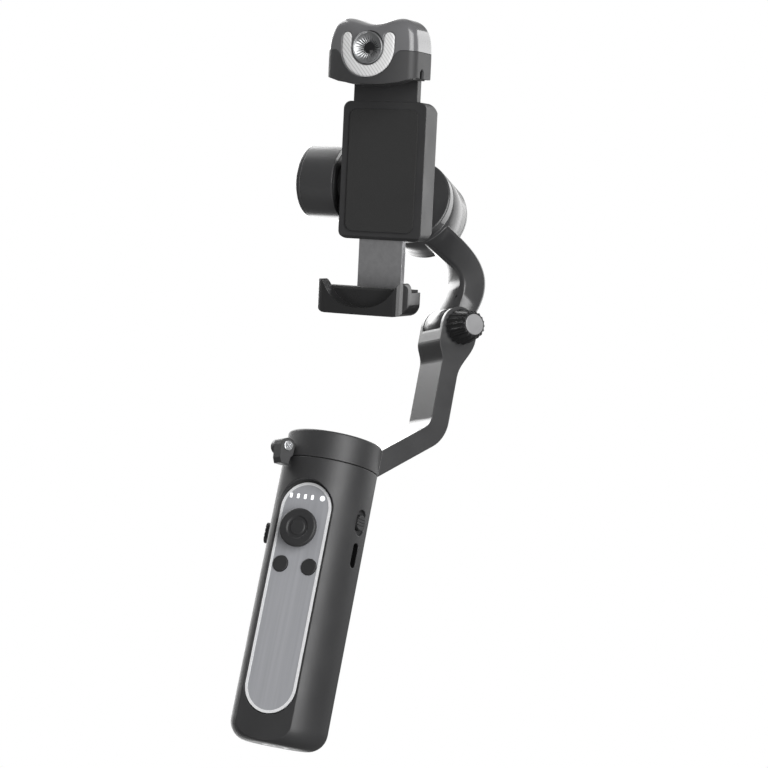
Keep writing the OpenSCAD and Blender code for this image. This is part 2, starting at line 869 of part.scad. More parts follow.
// Eases from one width to another between two heights
function ease(x0, x1, z0, z1, steps) = [
    for (i = [0 : steps]) [x0 + (x1 - x0) * (1 - cos(180 * i / steps)) / 2, z0 + (z1 - z0) * i / steps]
];

module lower_arm_outline() {
    start = [arm_root_r - arm_t, arm_root_z - arm_t * tan(arm_slope)];
    side = arm_t / 2 * [-sin(arm_slope), cos(arm_slope)];
    polygon(concat(
        [start - side], arc(bend_mid, arm_bend_r + arm_t / 2, arm_slope - 90, 0, 12),
        ease(bar_out_x, hinge_r + knuckle_r, flare_low, flare_top, 10),
        [[hinge_r + knuckle_r, hinge_z], [hinge_r - knuckle_r, hinge_z]],
        [for (i = [10 : -1 : 0])
            ease(bar_in_x, hinge_r - knuckle_r, flare_low + arm_t / 2, flare_top - arm_t / 2, 10)[i]],
        arc(bend_mid, arm_bend_r - arm_t / 2, 0, arm_slope - 90, 12), [start + side]
    ));
    translate([hinge_r, hinge_z]) circle(r = knuckle_r, $fn = fine);
}

module lower_arm() color(dark) at_arm() difference() {
    union() {
        difference() {
            translate([0, arm_w / 2, 0]) rotate([90, 0, 0]) linear_extrude(arm_w) lower_arm_outline();
            cylinder(r = handle_r + fit_gap, h = handle_h + seat_gap + cap_h + fit_gap, $fn = fine);
            cylinder(r = arm_root_r, h = 2 * handle_h, $fn = fine);
        }
        translate([handle_r - tenon_in, -tenon_w / 2, handle_h + tenon_low + fit_gap])
            cube([tenon_in + cut, tenon_w, tenon_top - tenon_low - 2 * fit_gap]);
    }
    translate([hinge_r, slot_half, hinge_z]) rotate([90, 0, 0]) linear_extrude(2 * slot_half) {
        circle(r = knuckle_r + turn_gap, $fn = fine);
        translate([-2 * knuckle_r, 0]) square([4 * knuckle_r, 2 * knuckle_r]);
        polygon([[0, 0], fold_cut_len * [cos(fold_cut_angle), -sin(fold_cut_angle)],
            [fold_cut_len, -fold_cut_len * sin(fold_cut_angle)], [fold_cut_len, 0]]);
    }
    translate([hinge_r, 0, hinge_z]) rotate([90, 0, 0])
        cylinder(r = pin_r + fit_gap, h = 2 * arm_w, center = true, $fn = fine);
    translate([hinge_r, arm_w / 2 - pin_head_t, hinge_z]) rotate([-90, 0, 0])
        cylinder(r = pin_head_r + fit_gap, h = arm_w, $fn = fine);
}

module hinge_pin() color(steel) at_hinge() {
    translate([0, arm_w / 2 - pin_head_t + fit_gap, 0]) rotate([-90, 0, 0])
        cylinder(r = pin_head_r, h = pin_head_t - fit_gap, $fn = fine);
    translate([0, arm_w / 2 - pin_head_t / 2, 0]) rotate([90, 0, 0])
        cylinder(r = pin_r, h = arm_w - pin_head_t / 2 + knob_len - knob_end_wall - disc_t, $fn = fine);
}

module lock_knob() color(black) at_hinge() translate([0, -arm_w / 2 - knob_gap, 0])
rotate([90, 0, 0]) difference() {
    rotate_extrude($fn = fine) polygon([
        [0, 0], [knob_r - knob_chamfer, 0], [knob_r, knob_chamfer],
        [knob_front_r, knob_len - knob_chamfer], [knob_front_r - knob_chamfer, knob_len], [0, knob_len]
    ]);
    for (i = [0 : knob_flutes - 1]) rotate([0, 0, i * 360 / knob_flutes])
        translate([knob_r + flute_out, 0, 0]) rotate([0, -atan2(knob_r - knob_front_r, knob_len), 0])
            translate([0, 0, -cut]) cylinder(r = flute_r, h = 2 * knob_len, $fn = 24);
    translate([0, 0, -cut]) cylinder(r = pin_r + run_gap, h = knob_len - knob_end_wall + cut, $fn = fine);
    translate([0, 0, knob_len - disc_t]) cylinder(r = disc_r + fit_gap, h = knob_len, $fn = fine);
}

module knob_disc() color(gloss) at_hinge() translate([0, -arm_w / 2 - knob_gap, 0])
    rotate([90, 0, 0]) translate([0, 0, knob_len - disc_t]) domed_disc(disc_r, disc_t, disc_t / 3);

// Hook that holds the arm when folded, and the screw it turns on

module fold_hook() color(dark) at_hook() difference() {
    translate([0, hook_t / 2, 0]) rotate([90, 0, 0]) linear_extrude(hook_t) {
        polygon(concat(arc([0, 0], hook_head_r, 0, 120, 12),
            [for (s = hook_shares) [s[0] * hook_head_r, s[1] * hook_low]]));
    }
    rotate([90, 0, 0])
        cylinder(r = hook_screw_r + run_gap, h = 2 * hook_t, center = true, $fn = medium);
}

module hook_screw() color(silver) at_hook() rotate([90, 0, 0]) difference() {
    union() {
        translate([0, 0, hook_t / 2 + run_gap])
            domed_disc(hook_screw_head_r, hook_screw_head_t, hook_screw_head_t / 2);
        translate([0, 0, -hook_t / 2 - lug_gap - lug_t])
            cylinder(r = hook_screw_r, h = hook_t + lug_gap + lug_t + 2 * run_gap, $fn = medium);
    }
    for (a = [0, 90]) rotate([0, 0, a + 45])
        translate([0, 0, hook_t / 2 + hook_screw_head_t])
            cube([hook_screw_r * 2, hook_screw_head_t / 2, hook_screw_head_t], center = true);
}

// Upper arm: a bar that leans out from the hinge and turns in to the roll motor

out_dir = [cos(arm_az), sin(arm_az), 0];
far_dir = [-sin(arm_az), cos(arm_az), 0];
lean_dir = sin(upper_lean) * out_dir + cos(upper_lean) * [0, 0, 1];
hinge_at = hinge_r * out_dir + [0, 0, hinge_z];
path_a = hinge_at + neck_from * lean_dir;
path_b = path_a + path_pull * lean_dir;
path_d = [path_end * cos(path_end_angle), path_y, axis_z - path_end * sin(path_end_angle)];
path_c = path_d + path_turn * [cos(path_turn_angle), 0, -sin(path_turn_angle)];

function path_at(u) =
    pow(1 - u, 3) * path_a + 3 * u * pow(1 - u, 2) * path_b
    + 3 * u * u * (1 - u) * path_c + pow(u, 3) * path_d;

function path_way(u) = u == 0 ? lean_dir : unit(path_at(u + path_step_share) - path_at(u - path_step_share));

// A ring of the bar's outline about a point: an oval box square to the way the bar runs
function bar_ring(middle, way, turn, w) =
    let(across = [-sin(turn), cos(turn), 0], b = unit(cross(way, across)), a = cross(b, way))
    [for (i = [0 : section_points - 1])
        let(t = 360 * i / section_points, c = cos(t), s = sin(t),
            p = sign(c) * sqrt(abs(c)), q = sign(s) * sqrt(abs(s)))
        middle + a * p * w / 2 + b * q * upper_t / 2];

// The bar's section at a share of the path, which turns from the hinge to the motor
function section_at(u) =
    bar_ring(path_at(u), path_way(u), arm_az * (1 - u) * (1 - u) * (1 + 2 * u),
        neck_w + (upper_w - neck_w) * share(norm(path_at(u) - hinge_at), neck_from, neck_to));

// How far x is on its way between two limits, from 0 to 1
function share(x, low, high) = min(1, max(0, (x - low) / (high - low)));

module upper_arm() color(dark) difference() {
    union() {
        loft(concat(
            [bar_ring(hinge_at + neck_first * lean_dir, lean_dir, arm_az, neck_w)],
            [for (i = [0 : path_steps]) section_at(i / path_steps)]
        ));
        at_hinge() {
            rotate([90, 0, 0])
                cylinder(r = knuckle_r, h = neck_w, center = true, $fn = fine);
        }
        at_roll() translate([0, 0, -(roll_back_y - roll_floor_y)])
            cylinder(r = roll_house_r, h = motor_h + roll_back_y - roll_floor_y, $fn = fine);
    }
    at_roll() {
        cylinder(r = roll_bell_r + house_gap, h = 3 * motor_h, $fn = fine);
        translate([0, 0, -(roll_back_y - roll_floor_y) - cut])
            cylinder(r = roll_bell_r + house_gap, h = roll_back_y - roll_floor_y - motor_floor_t + cut, $fn = fine);
    }
    at_hinge() {
        rotate([90, 0, 0])
            cylinder(r = pin_r + run_gap, h = 2 * arm_w, center = true, $fn = fine);
        rotate([0, upper_lean, 0]) translate([-upper_t / 2 - cut, upper_w / 3, knuckle_r - cut])
            rotate([0, 90, 0]) cylinder(r = set_hole_r, h = cut + set_hole_d, $fn = 24);
    }
}

module upper_arm_all() color(dark) {
    upper_arm();
    at_roll() motor_tube();
}

module roll_bearings() color(steel) at_roll() motor_bearings();

module roll_stator() color(copper) at_roll() motor_stator(roll_bell_r);

// A cover for the back of a motor, with a step that fits inside the housing
module motor_cover(house_r, bell_r) {
    rotate([180, 0, 0]) domed_disc(house_r, cover_t, cover_round);
    difference() {
        cylinder(r = bell_r + house_gap - fit_gap, h = cover_spigot, $fn = fine);
        cylinder(r = bell_r - bell_wall, h = 2 * cover_spigot, $fn = fine);
    }
}

module roll_cover() color(dark) at_roll() translate([0, 0, -(roll_back_y - roll_floor_y)])
    motor_cover(roll_house_r, roll_bell_r);

// Roll arm: a hub on the roll motor, a bar behind the clamp and the tilt motor's housing

module roll_arm() color(dark) difference() {
    union() {
        at_roll() {
            translate([0, 0, motor_h + turn_gap])
                domed_disc(roll_house_r, roll_hub_t, cap_round);
            motor_skirt_to_hub();
        }
        translate([0, roll_face_y + roll_hub_t, axis_z]) rotate([90, 0, 0]) linear_extrude(roll_hub_t) {
            polygon([[0, roll_house_r - cap_round], [0, cap_round - roll_house_r],
                [bar_round - roll_bar_end, -roll_bar_w], [bar_round - roll_bar_end, roll_bar_w]]);
            polygon([[bar_round - roll_bar_end - bar_round, bar_round - roll_bar_w],
                [-tilt_face_x, bar_round - roll_bar_w], [-tilt_face_x, roll_bar_w - bar_round],
                [bar_round - roll_bar_end - bar_round, roll_bar_w - bar_round]]);
            for (z = [-1, 1]) translate([bar_round - roll_bar_end, z * (roll_bar_w - bar_round)])
                circle(r = bar_round, $fn = coarse);
        }
        translate([-roll_bar_end, tilt_y, axis_z - roll_bar_w + bar_round])
            cube([roll_bar_end - tilt_face_x, roll_face_y - tilt_y + cut, 2 * (roll_bar_w - bar_round)]);
        at_tilt_motor() translate([0, 0, -(tilt_back_x - tilt_floor_x)])
            cylinder(r = tilt_house_r, h = tilt_back_x - tilt_face_x, $fn = fine);
    }
    at_tilt_motor() {
        cylinder(r = tilt_bell_r + house_gap, h = 2 * motor_h, $fn = fine);
        translate([0, 0, -(tilt_back_x - tilt_floor_x) - cut])
            cylinder(r = tilt_bell_r + house_gap, h = tilt_back_x - tilt_floor_x - motor_floor_t + cut, $fn = fine);
    }
    at_roll() translate([0, 0, turn_gap]) motor_shaft_hole();
}

// The skirt that carries the magnets, reaching from the hub into the roll motor's housing
module motor_skirt_to_hub() {
    translate([0, 0, magnet_low])
        ring(roll_bell_r, roll_bell_r - bell_wall, motor_h - magnet_low + turn_gap + cut);
}

module roll_shaft() color(steel) at_roll() motor_shaft(motor_h + shaft_in);

module roll_magnets() color(steel) at_roll() motor_magnets(roll_bell_r);

module tilt_bearings() color(steel) at_tilt_motor() motor_bearings();

module tilt_stator() color(copper) at_tilt_motor() motor_stator(tilt_bell_r);

module tilt_cover() color(dark) at_tilt_motor() translate([0, 0, -(tilt_back_x - tilt_floor_x)])
    motor_cover(tilt_house_r, tilt_bell_r);

// Clamp

module clamp_profile() {
    polygon([[clamp_front, -clamp_low + clamp_edge], [clamp_front + clamp_edge, -clamp_low],
        [clamp_rear - clamp_taper, -clamp_low], [clamp_rear, clamp_taper - clamp_low],
        [clamp_rear, clamp_high - clamp_taper], [clamp_rear - clamp_taper, clamp_high],
        [clamp_front, clamp_high]]);
}

module clamp_body() color(dark) at_clamp() {
    difference() {
        union() {
            intersection() {
                translate([-clamp_w / 2, 0, 0]) rotate([90, 0, 90]) linear_extrude(clamp_w) clamp_profile();
                translate([0, clamp_rear, clamp_mid]) rotate([90, 0, 0])
                    rounded_slab(clamp_w, clamp_high + clamp_low, clamp_d, clamp_round);
            }
            translate([-tilt_face_x - bell_t, 0, 0]) rotate([0, 90, 0])
                cylinder(r = neck_r, h = tilt_face_x + bell_t + neck_in, $fn = fine);
            translate([-tilt_face_x - bell_t, 0, 0]) rotate([0, 90, 0])
                cylinder(r = tilt_bell_r, h = bell_t, $fn = fine);
            translate([-tilt_floor_x, 0, 0]) rotate([0, 90, 0]) translate([0, 0, magnet_low])
                ring(tilt_bell_r, tilt_bell_r - bell_wall, motor_h - magnet_low + bell_t / 2);
        }
        translate([-channel_w / 2 - channel_gap, clamp_front + channel_in - channel_gap, -2 * clamp_low])
            cube([channel_w + 2 * channel_gap, channel_t + 2 * channel_gap, 2 * clamp_low + channel_top]);
        difference() {
            at_drum() {
                cylinder(r = drum_r + drum_room, h = drum_w + drum_room, center = true, $fn = fine);
                translate([-drum_r - drum_room, 0, -(drum_w + drum_room) / 2])
                    cube([2 * (drum_r + drum_room), clamp_d, drum_w + drum_room]);
            }
            at_drum() cylinder(r = drum_post_r, h = 2 * drum_w, center = true, $fn = fine);
        }
        translate([-tilt_floor_x, 0, 0]) rotate([0, 90, 0]) motor_shaft_hole();
    }
}

// The middle of the spring drum, with its axis along the local Z
module at_drum() translate([0, clamp_front + channel_in + channel_t, drum_z])
    rotate([0, 90, 0]) children();

module clamp_cover() color(black) at_clamp()
    translate([0, clamp_rear + clamp_cover_t, clamp_high - clamp_taper - clamp_cover_h / 2])
        rotate([90, 0, 0]) rounded_slab(clamp_cover_w, clamp_cover_h, clamp_cover_t, clamp_round);

module back_pad() color(black) at_clamp() translate([0, clamp_front, clamp_mid])
    rotate([90, 0, 0]) rounded_slab(clamp_w - 2 * pad_in, clamp_high + clamp_low - 2 * pad_in,
        pad_t, clamp_round);

module tilt_shaft() color(steel) at_tilt_motor() motor_shaft(motor_h + shaft_in);

module tilt_magnets() color(steel) at_tilt_motor() motor_magnets(tilt_bell_r);

module spring_drum() color(steel) at_clamp() at_drum()
    translate([0, 0, -drum_w / 2]) ring(drum_r, drum_post_r + fit_gap, drum_w);

module upper_jaw() color(dark) at_clamp() {
    top = edge_z + rubber_t + upper_plate_t;
    difference() {
        translate([0, glass_y + phone_t, 0]) rotate([90, 0, 0]) translate([0, 0, -upper_neck_t])
            linear_extrude(upper_neck_t + phone_t + lip_gap + lip_t) {
            polygon([[-lip_w / 2, edge_z], [-lip_w / 2, top], [lip_w / 2, top], [lip_w / 2, edge_z],
                [lip_w / 3, edge_z - lip_drop * 2 / 3], [lip_w / 6, edge_z - lip_drop],
                [-lip_w / 6, edge_z - lip_drop], [-lip_w / 3, edge_z - lip_drop * 2 / 3]]);
        }
        translate([-lip_w / 2 - cut, glass_y - lip_gap, edge_z - 2 * lip_drop])
            cube([lip_w + 2 * cut, phone_t + lip_gap + upper_neck_t + cut, 2 * lip_drop + rubber_t]);
    }
    translate([-upper_neck_w / 2, clamp_front, clamp_high])
        cube([upper_neck_w, upper_neck_t - pad_t, top - clamp_high]);
}

module upper_pad() color(black) at_clamp() translate([-lip_w / 2, glass_y - lip_gap, edge_z])
    cube([lip_w, phone_t + lip_gap, rubber_t]);

// The jaw's outline from the front under a given top, with rounded bottom corners
function jaw_outline(top) = both_sides(concat(
    top, arc([jaw_w / 2 - jaw_corner, jaw_corner - edge_z - rubber_t - jaw_h], jaw_corner, 0, -90, 6),
    [[0, -edge_z - rubber_t - jaw_h]]
));

module lower_jaw() color(dark) at_clamp() {
    low = -edge_z - rubber_t;
    intersection() {
        union() {
            translate([0, glass_y + jaw_front + jaw_wall, 0]) rotate([90, 0, 0]) linear_extrude(jaw_wall)
                polygon(jaw_outline([for (s = rounded(jaw_shares, 4))
                    [s[0] * jaw_w / 2, low + rubber_t + s[1] * (jaw_h + rubber_t)]]));
            translate([0, glass_y + jaw_back, 0]) rotate([90, 0, 0])
                linear_extrude(jaw_back - jaw_front - jaw_wall) polygon(jaw_outline([[0, low], [jaw_w / 2, low]]));
        }
        translate([0, 0, low - 2 * jaw_h]) linear_extrude(4 * jaw_h) polygon(
            bowed_plan(jaw_w, glass_y + jaw_front, glass_y + jaw_back, jaw_bow, jaw_front_corner));
    }
    difference() {
        translate([-jaw_tongue_w / 2, glass_y + jaw_back - fit_gap, low - jaw_h + jaw_edge])
            cube([jaw_tongue_w, clamp_rear - clamp_edge - glass_y - jaw_back + fit_gap, jaw_h - jaw_edge]);
        translate([-channel_w / 2 - fit_gap, clamp_front + channel_in - fit_gap, slide_low - fit_gap])
            cube([channel_w + 2 * fit_gap, channel_t + 2 * fit_gap, jaw_h]);
    }
}

module lower_pad() color(grey) at_clamp()
    translate([-jaw_w / 2 + rubber_t, glass_y + jaw_front + jaw_wall, -edge_z - rubber_t])
        cube([jaw_w - 2 * rubber_t, jaw_back - jaw_front - jaw_wall, rubber_t]);

module slide_plate() color(steel) at_clamp()
    translate([-channel_w / 2, clamp_front + channel_in, slide_low])
        cube([channel_w, channel_t, -plate_top - slide_low]);

// Tracking module

module tracker_form(grow) {
    intersection() {
        translate([0, tracker_front + tracker_d + cut, edge_z]) rotate([90, 0, 0])
            linear_extrude(tracker_d + 2 * cut) polygon(both_sides([
                for (s = rounded(tracker_shares, 4)) [s[0] * tracker_w / 2, s[1] * tracker_h]]));
        translate([0, 0, edge_z - tracker_h]) linear_extrude(3 * tracker_h) polygon(
            bowed_plan(tracker_w, tracker_front + grow, tracker_front + tracker_d, bulge, tracker_corner));
    }
}

// The part of the module that is glossy: its top and a round field behind the lamp
module gloss_field(grow) {
    translate([-tracker_w, tracker_front - cut, edge_z + split_up - grow])
        cube([2 * tracker_w, 2 * tracker_d, tracker_h]);
    translate([0, tracker_front + glow_deep, edge_z + lens_up]) rotate([90, 0, 0])
        linear_extrude(glow_deep + cut) {
            circle(r = glow_cut_r + grow, $fn = fine);
            for (side = [0, 1]) mirror([side, 0])
                translate([glow_cut_r + grow, split_up - grow - lens_up - shoulder_r])
                difference() {
                    translate([-shoulder_r, 0]) square([2 * shoulder_r, shoulder_r + cut]);
                    translate([shoulder_r, 0]) circle(r = shoulder_r, $fn = medium);
                }
        }
}

module glow_outline(r_out, r_in) {
    difference() {
        union() {
            circle(r = r_out, $fn = fine);
            for (x = [-1, 1]) translate([x * (r_out + r_in) / 2, glow_up - (r_out - r_in) / 2])
                circle(r = (r_out - r_in) / 2, $fn = medium);
            for (x = [-1, 1]) translate([x * (r_out + r_in) / 2 - (r_out - r_in) / 2, 0])
                square([r_out - r_in, glow_up - (r_out - r_in) / 2]);
        }
        circle(r = r_in, $fn = fine);
        translate([-r_in, 0]) square([2 * r_in, 2 * r_out]);
        translate([-r_out - cut, glow_up]) square([2 * r_out + 2 * cut, r_out]);
        for (x = [-1, 1]) translate([x * r_out, glow_up])
            rotate([0, 0, 45]) square([r_out / 9, r_out / 9], center = true);
    }
}

module at_lens() translate([0, tracker_front, edge_z + lens_up]) rotate([90, 0, 0]) children();

module tracker_base() color(dark) at_clamp() difference() {
    tracker_form(0);
    gloss_field(fit_gap);
    translate([-lip_w / 2 - tracker_gap, glass_y - lip_gap - lip_t - tracker_gap, edge_z - tracker_h])
        cube([lip_w + 2 * tracker_gap, 2 * tracker_d,
            tracker_h + rubber_t + upper_plate_t + fit_gap]);
    translate([0, glass_y + phone_t / 2, edge_z + rubber_t + upper_plate_t - cut])
        cylinder(r = magnet_r + fit_gap, h = magnet_h + cut + 2 * fit_gap, $fn = medium);
    translate([tracker_w / 2 - jack_d, tracker_front + jack_y, edge_z - cut])
        cube([2 * jack_d, jack_w, jack_h + cut]);
}

module tracker_shell() color(gloss) at_clamp() difference() {
    intersection() {
        tracker_form(0);
        gloss_field(0);
    }
    difference() {
        at_lens() translate([0, 0, -tracker_d]) linear_extrude(2 * tracker_d)
            glow_outline(glow_r + fit_gap, glow_inner_r - fit_gap);
        tracker_form(glow_t);
    }
    at_lens() translate([0, 0, -lens_t - fit_gap]) cylinder(r = lens_r + fit_gap, h = tracker_d, $fn = fine);
}

module light_ring() color(white) at_clamp() difference() {
    intersection() {
        tracker_form(0);
        at_lens() translate([0, 0, -tracker_d]) linear_extrude(2 * tracker_d)
            glow_outline(glow_r, glow_inner_r);
    }
    tracker_form(glow_t - fit_gap);
}

module lens_ring() color(silver) at_clamp() at_lens() translate([0, 0, -lens_t]) difference() {
    rotate_extrude($fn = fine) polygon([
        [pupil_r + fit_gap, 0], [lens_r, 0], [lens_r, lens_t - fin_d / 2],
        [lens_r - fin_d, lens_t - fin_d / 2], [pupil_r + fin_d, lens_t - lens_in - fin_d],
        [pupil_r + fit_gap, lens_t - lens_in - fin_d]
    ]);
    for (i = [0 : fin_count - 1]) rotate([0, 0, i * 360 / fin_count])
        translate([pupil_r + fin_d, -fin_w / 2, lens_t - lens_in - 2 * fin_d])
            cube([lens_r - pupil_r - 3 * fin_d, fin_w, lens_t]);
}

module lens_glass() color(black) at_clamp() at_lens() translate([0, 0, -lens_t])
    domed_disc(pupil_r, lens_t - lens_in, fin_d);

module tracker_magnet() color(steel) at_clamp()
    translate([0, glass_y + phone_t / 2, edge_z + rubber_t + upper_plate_t])
        cylinder(r = magnet_r, h = magnet_h, $fn = medium);

handle_tube();
tripod_insert();
battery_tray();
battery_cell();
main_board();
usb_port();
pad_housing();
panel_border();
panel_plate();
panel_board();
battery_lamps();
mode_lamp();
joystick_socket();
joystick_rocker();
joystick_stem();
joystick_cap();
left_button();
right_button();
power_slider();
zoom_slider();
pan_motor_base();
pan_bearings();
pan_stator();
pan_cap();
pan_shaft();
pan_magnets();
lower_arm();
hinge_pin();
fold_hook();
hook_screw();
lock_knob();
knob_disc();
upper_arm_all();  // upper_arm
roll_bearings();
roll_stator();
roll_cover();
roll_arm();
roll_shaft();
roll_magnets();
tilt_bearings();
tilt_stator();
tilt_cover();
clamp_body();
clamp_cover();
back_pad();
tilt_shaft();
tilt_magnets();
spring_drum();
upper_jaw();
upper_pad();
tracker_base();
tracker_shell();
light_ring();
lens_ring();
lens_glass();
tracker_magnet();
lower_jaw();
lower_pad();
slide_plate();
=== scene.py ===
import math

import bpy
import numpy as np
from mathutils import Matrix, Vector


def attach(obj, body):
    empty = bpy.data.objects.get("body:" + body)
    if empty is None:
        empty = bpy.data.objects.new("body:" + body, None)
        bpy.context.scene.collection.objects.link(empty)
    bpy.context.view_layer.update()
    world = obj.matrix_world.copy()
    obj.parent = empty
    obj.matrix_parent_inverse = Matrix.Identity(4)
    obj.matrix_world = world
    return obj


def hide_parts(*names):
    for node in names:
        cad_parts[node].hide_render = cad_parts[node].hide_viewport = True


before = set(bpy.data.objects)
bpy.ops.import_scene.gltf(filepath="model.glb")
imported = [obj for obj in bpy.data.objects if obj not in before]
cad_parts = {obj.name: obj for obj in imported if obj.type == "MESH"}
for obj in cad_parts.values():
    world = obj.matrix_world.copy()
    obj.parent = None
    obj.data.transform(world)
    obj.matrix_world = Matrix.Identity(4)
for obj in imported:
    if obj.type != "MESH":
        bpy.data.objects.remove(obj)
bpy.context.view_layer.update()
mm = 0.001  # one millimetre in the scene's metres

# Camera

cameraValues = {"place": (0.29810, -0.63944, -0.03023), "lens": 91.64, "sensor": 36.0, "near": 0.01,
                "far": 50.0}
cameraRight = Vector((0.91545, 0.35791, 0.18399))
cameraAway = Vector((-0.39420, 0.88955, 0.23090))
cameraUp = Vector((-0.08103, -0.28391, 0.95543))


def byCamera(right, up, away):
    # A step along the camera's axes: right * cameraRight + up * cameraUp + away * cameraAway.
    return cameraRight * right + cameraUp * up + cameraAway * away


def makeCamera():
    # The matrix's columns are the camera's right, up and backward axes and its place.
    v = cameraValues
    data = bpy.data.cameras.new("mainCamera")
    data.lens = v["lens"]
    data.sensor_width = v["sensor"]
    data.clip_start = v["near"]
    data.clip_end = v["far"]
    camera = bpy.data.objects.new("mainCamera", data)
    rows = [(cameraRight[k], cameraUp[k], -cameraAway[k], v["place"][k]) for k in range(3)]
    camera.matrix_world = Matrix([*rows, (0, 0, 0, 1)])
    bpy.context.scene.collection.objects.link(camera)
    bpy.context.scene.camera = camera


makeCamera()
print("camera")

# Lamps: places and sizes in metres, power in watts

objectMiddle = Vector((0.0, -0.005, 0.14))
moduleMiddle = Vector((0.016, -0.03, 0.252))
armFoot = Vector((0.024, 0.033, 0.18))
keyPlace = objectMiddle + byCamera(0.62, 0.24, -1.13)
glintWay = (0.721, -0.064, 0.69)  # the way in which the module's side mirrors the camera
glintFar = 0.3
backWay = (-0.632, 0.440, 0.638)  # the way in which the upper arm's inner face mirrors the camera
backFar = 0.6
lampValues = {
    "keyBox": {"place": keyPlace, "target": objectMiddle, "size": (1.05, 1.4), "power": 14.5},
    "lowFill": {"place": objectMiddle + byCamera(-0.55, -0.75, -1.0), "target": objectMiddle,
                "size": (0.8, 0.8), "power": 1.6},
    "keyStrip": {"place": keyPlace, "target": objectMiddle, "size": (0.10, 1.4), "power": 9.0},
    "leftWing": {"place": Vector((-0.764, 0.086, 0.766)), "target": Vector((0.022, 0.031, 0.150)),
                 "size": (0.9, 0.8), "power": 8.5},
    "sideGlint": {"place": moduleMiddle + byCamera(*glintWay) * glintFar, "target": moduleMiddle,
                  "size": (0.34, 0.34), "power": 0.55},
    "leftBack": {"place": armFoot + byCamera(*backWay) * backFar, "target": armFoot, "size": (0.26, 0.26),
                 "power": 0.30},
}


def areaLight(name, place, target, size, power):
    # A rectangle that stands at place and looks at target.
    data = bpy.data.lights.new(name, "AREA")
    data.shape = "RECTANGLE"
    data.size, data.size_y = size
    data.energy = power
    lamp = bpy.data.objects.new(name, data)
    lamp.location = place
    lamp.rotation_euler = (target - place).to_track_quat("-Z", "Y").to_euler()
    bpy.context.scene.collection.objects.link(lamp)


# Small tools for shader nodes


def addNode(tree, kind, inputs=None, operation=None):
    # A shader node with values in some of its inputs, given by name or by number.
    node = tree.nodes.new("ShaderNode" + kind)
    if operation:
        node.operation = operation
    for key, value in (inputs or {}).items():
        node.inputs[key].default_value = value
    return node


def wire(tree, pairs):
    # A link from each output to its input.
    for output, target in pairs:
        tree.links.new(output, target)


def ranged(tree, source, fromLow, fromHigh, low=0.0, high=1.0):
    # low + (high - low) * (source - fromLow) / (fromHigh - fromLow), kept between low and high.
    node = addNode(tree, "MapRange", {
        "From Min": fromLow, "From Max": fromHigh, "To Min": low, "To Max": high})
    tree.links.new(source, node.inputs["Value"])
    return node.outputs[0]


# World: a dim level, and brighter patches between the limits (axis, where it starts, where it is full)

worldValues = {
    "ambient": 0.22,
    "patches": (
        (0.6, ((cameraRight, 0.35, -0.1), (Vector((0, 0, 1)), -0.1, 0.45), (cameraAway, 0.0, 0.4))),
        (3.6, ((cameraRight, 0.05, -0.15), (cameraAway, 0.74, 0.90))),
        (0.4, ((byCamera(*glintWay), 0.955, 0.988),))),
}


def smoothProduct(tree, direction, steps):
    # The product, over the limits, of smooth steps of the direction's dot product with each axis.
    product = None
    for axis, low, high in steps:
        dot = addNode(tree, "VectorMath", {1: axis}, "DOT_PRODUCT")
        step = addNode(tree, "MapRange", {"From Min": low, "From Max": high})
        step.interpolation_type = "SMOOTHSTEP"
        wire(tree, [(direction, dot.inputs[0]), (dot.outputs["Value"], step.inputs["Value"])])
        result = step.outputs["Result"]
        if product is None:
            product = result
        else:
            both = addNode(tree, "Math", operation="MULTIPLY")
            wire(tree, [(product, both.inputs[0]), (result, both.inputs[1])])
            product = both.outputs[0]
    return product


def makeWorld():
    # White for the camera. For other rays, ambient + the sum of strength * smoothProduct over the patches:
    # a wall behind on the left, a narrow strip straight behind for the light rim, and a patch at the side.
    world = bpy.data.worlds.new("studio")
    bpy.context.scene.world = world
    world.use_nodes = True
    tree = world.node_tree
    tree.nodes.clear()
    direction = addNode(tree, "TexCoord").outputs["Generated"]
    total = addNode(tree, "Value").outputs[0]
    total.default_value = worldValues["ambient"]
    for strength, steps in worldValues["patches"]:
        add = addNode(tree, "Math", {1: strength}, "MULTIPLY_ADD")
        wire(tree, [(smoothProduct(tree, direction, steps), add.inputs[0]), (total, add.inputs[2])])
        total = add.outputs[0]
    room = addNode(tree, "Background")
    white = addNode(tree, "Background", {"Color": (1, 1, 1, 1)})
    mix = addNode(tree, "MixShader")
    wire(tree, [
        (total, room.inputs["Strength"]), (addNode(tree, "LightPath").outputs["Is Camera Ray"], mix.inputs[0]),
        (room.outputs[0], mix.inputs[1]), (white.outputs[0], mix.inputs[2]),
        (mix.outputs[0], addNode(tree, "OutputWorld").inputs["Surface"])])


for lampName, lampValue in lampValues.items():
    areaLight(lampName, **lampValue)
makeWorld()
bpy.context.scene.view_settings.view_transform = "Standard"
print("lights")

# Finishes: noise patterns in the object's own coordinates. Grain, softness, width and pitch are in
# millimetres, the scales of the noises in waves to the metre.

bevelSamples = 4  # rays to a point, where an edge is rounded


def roundedNormal(tree, radius):
    # The normal as if edges were rounded; radius is a value in metres or an output.
    edge = addNode(tree, "Bevel")
    edge.samples = bevelSamples
    if isinstance(radius, float):
        edge.inputs["Radius"].default_value = radius
    else:
        tree.links.new(radius, edge.inputs["Radius"])
    return edge.outputs["Normal"]


def newGroup(name, inputs, outputs):
    # An empty shader group: number inputs with their defaults, and outputs with their kinds.
    group = bpy.data.node_groups.new(name, "ShaderNodeTree")
    for label, value in inputs.items():
        group.interface.new_socket(label, in_out="INPUT", socket_type="NodeSocketFloat").default_value = value
    for label, kind in outputs.items():
        group.interface.new_socket(label, in_out="OUTPUT", socket_type="NodeSocket" + kind)
    return group, group.nodes.new("NodeGroupInput").outputs, group.nodes.new("NodeGroupOutput").inputs


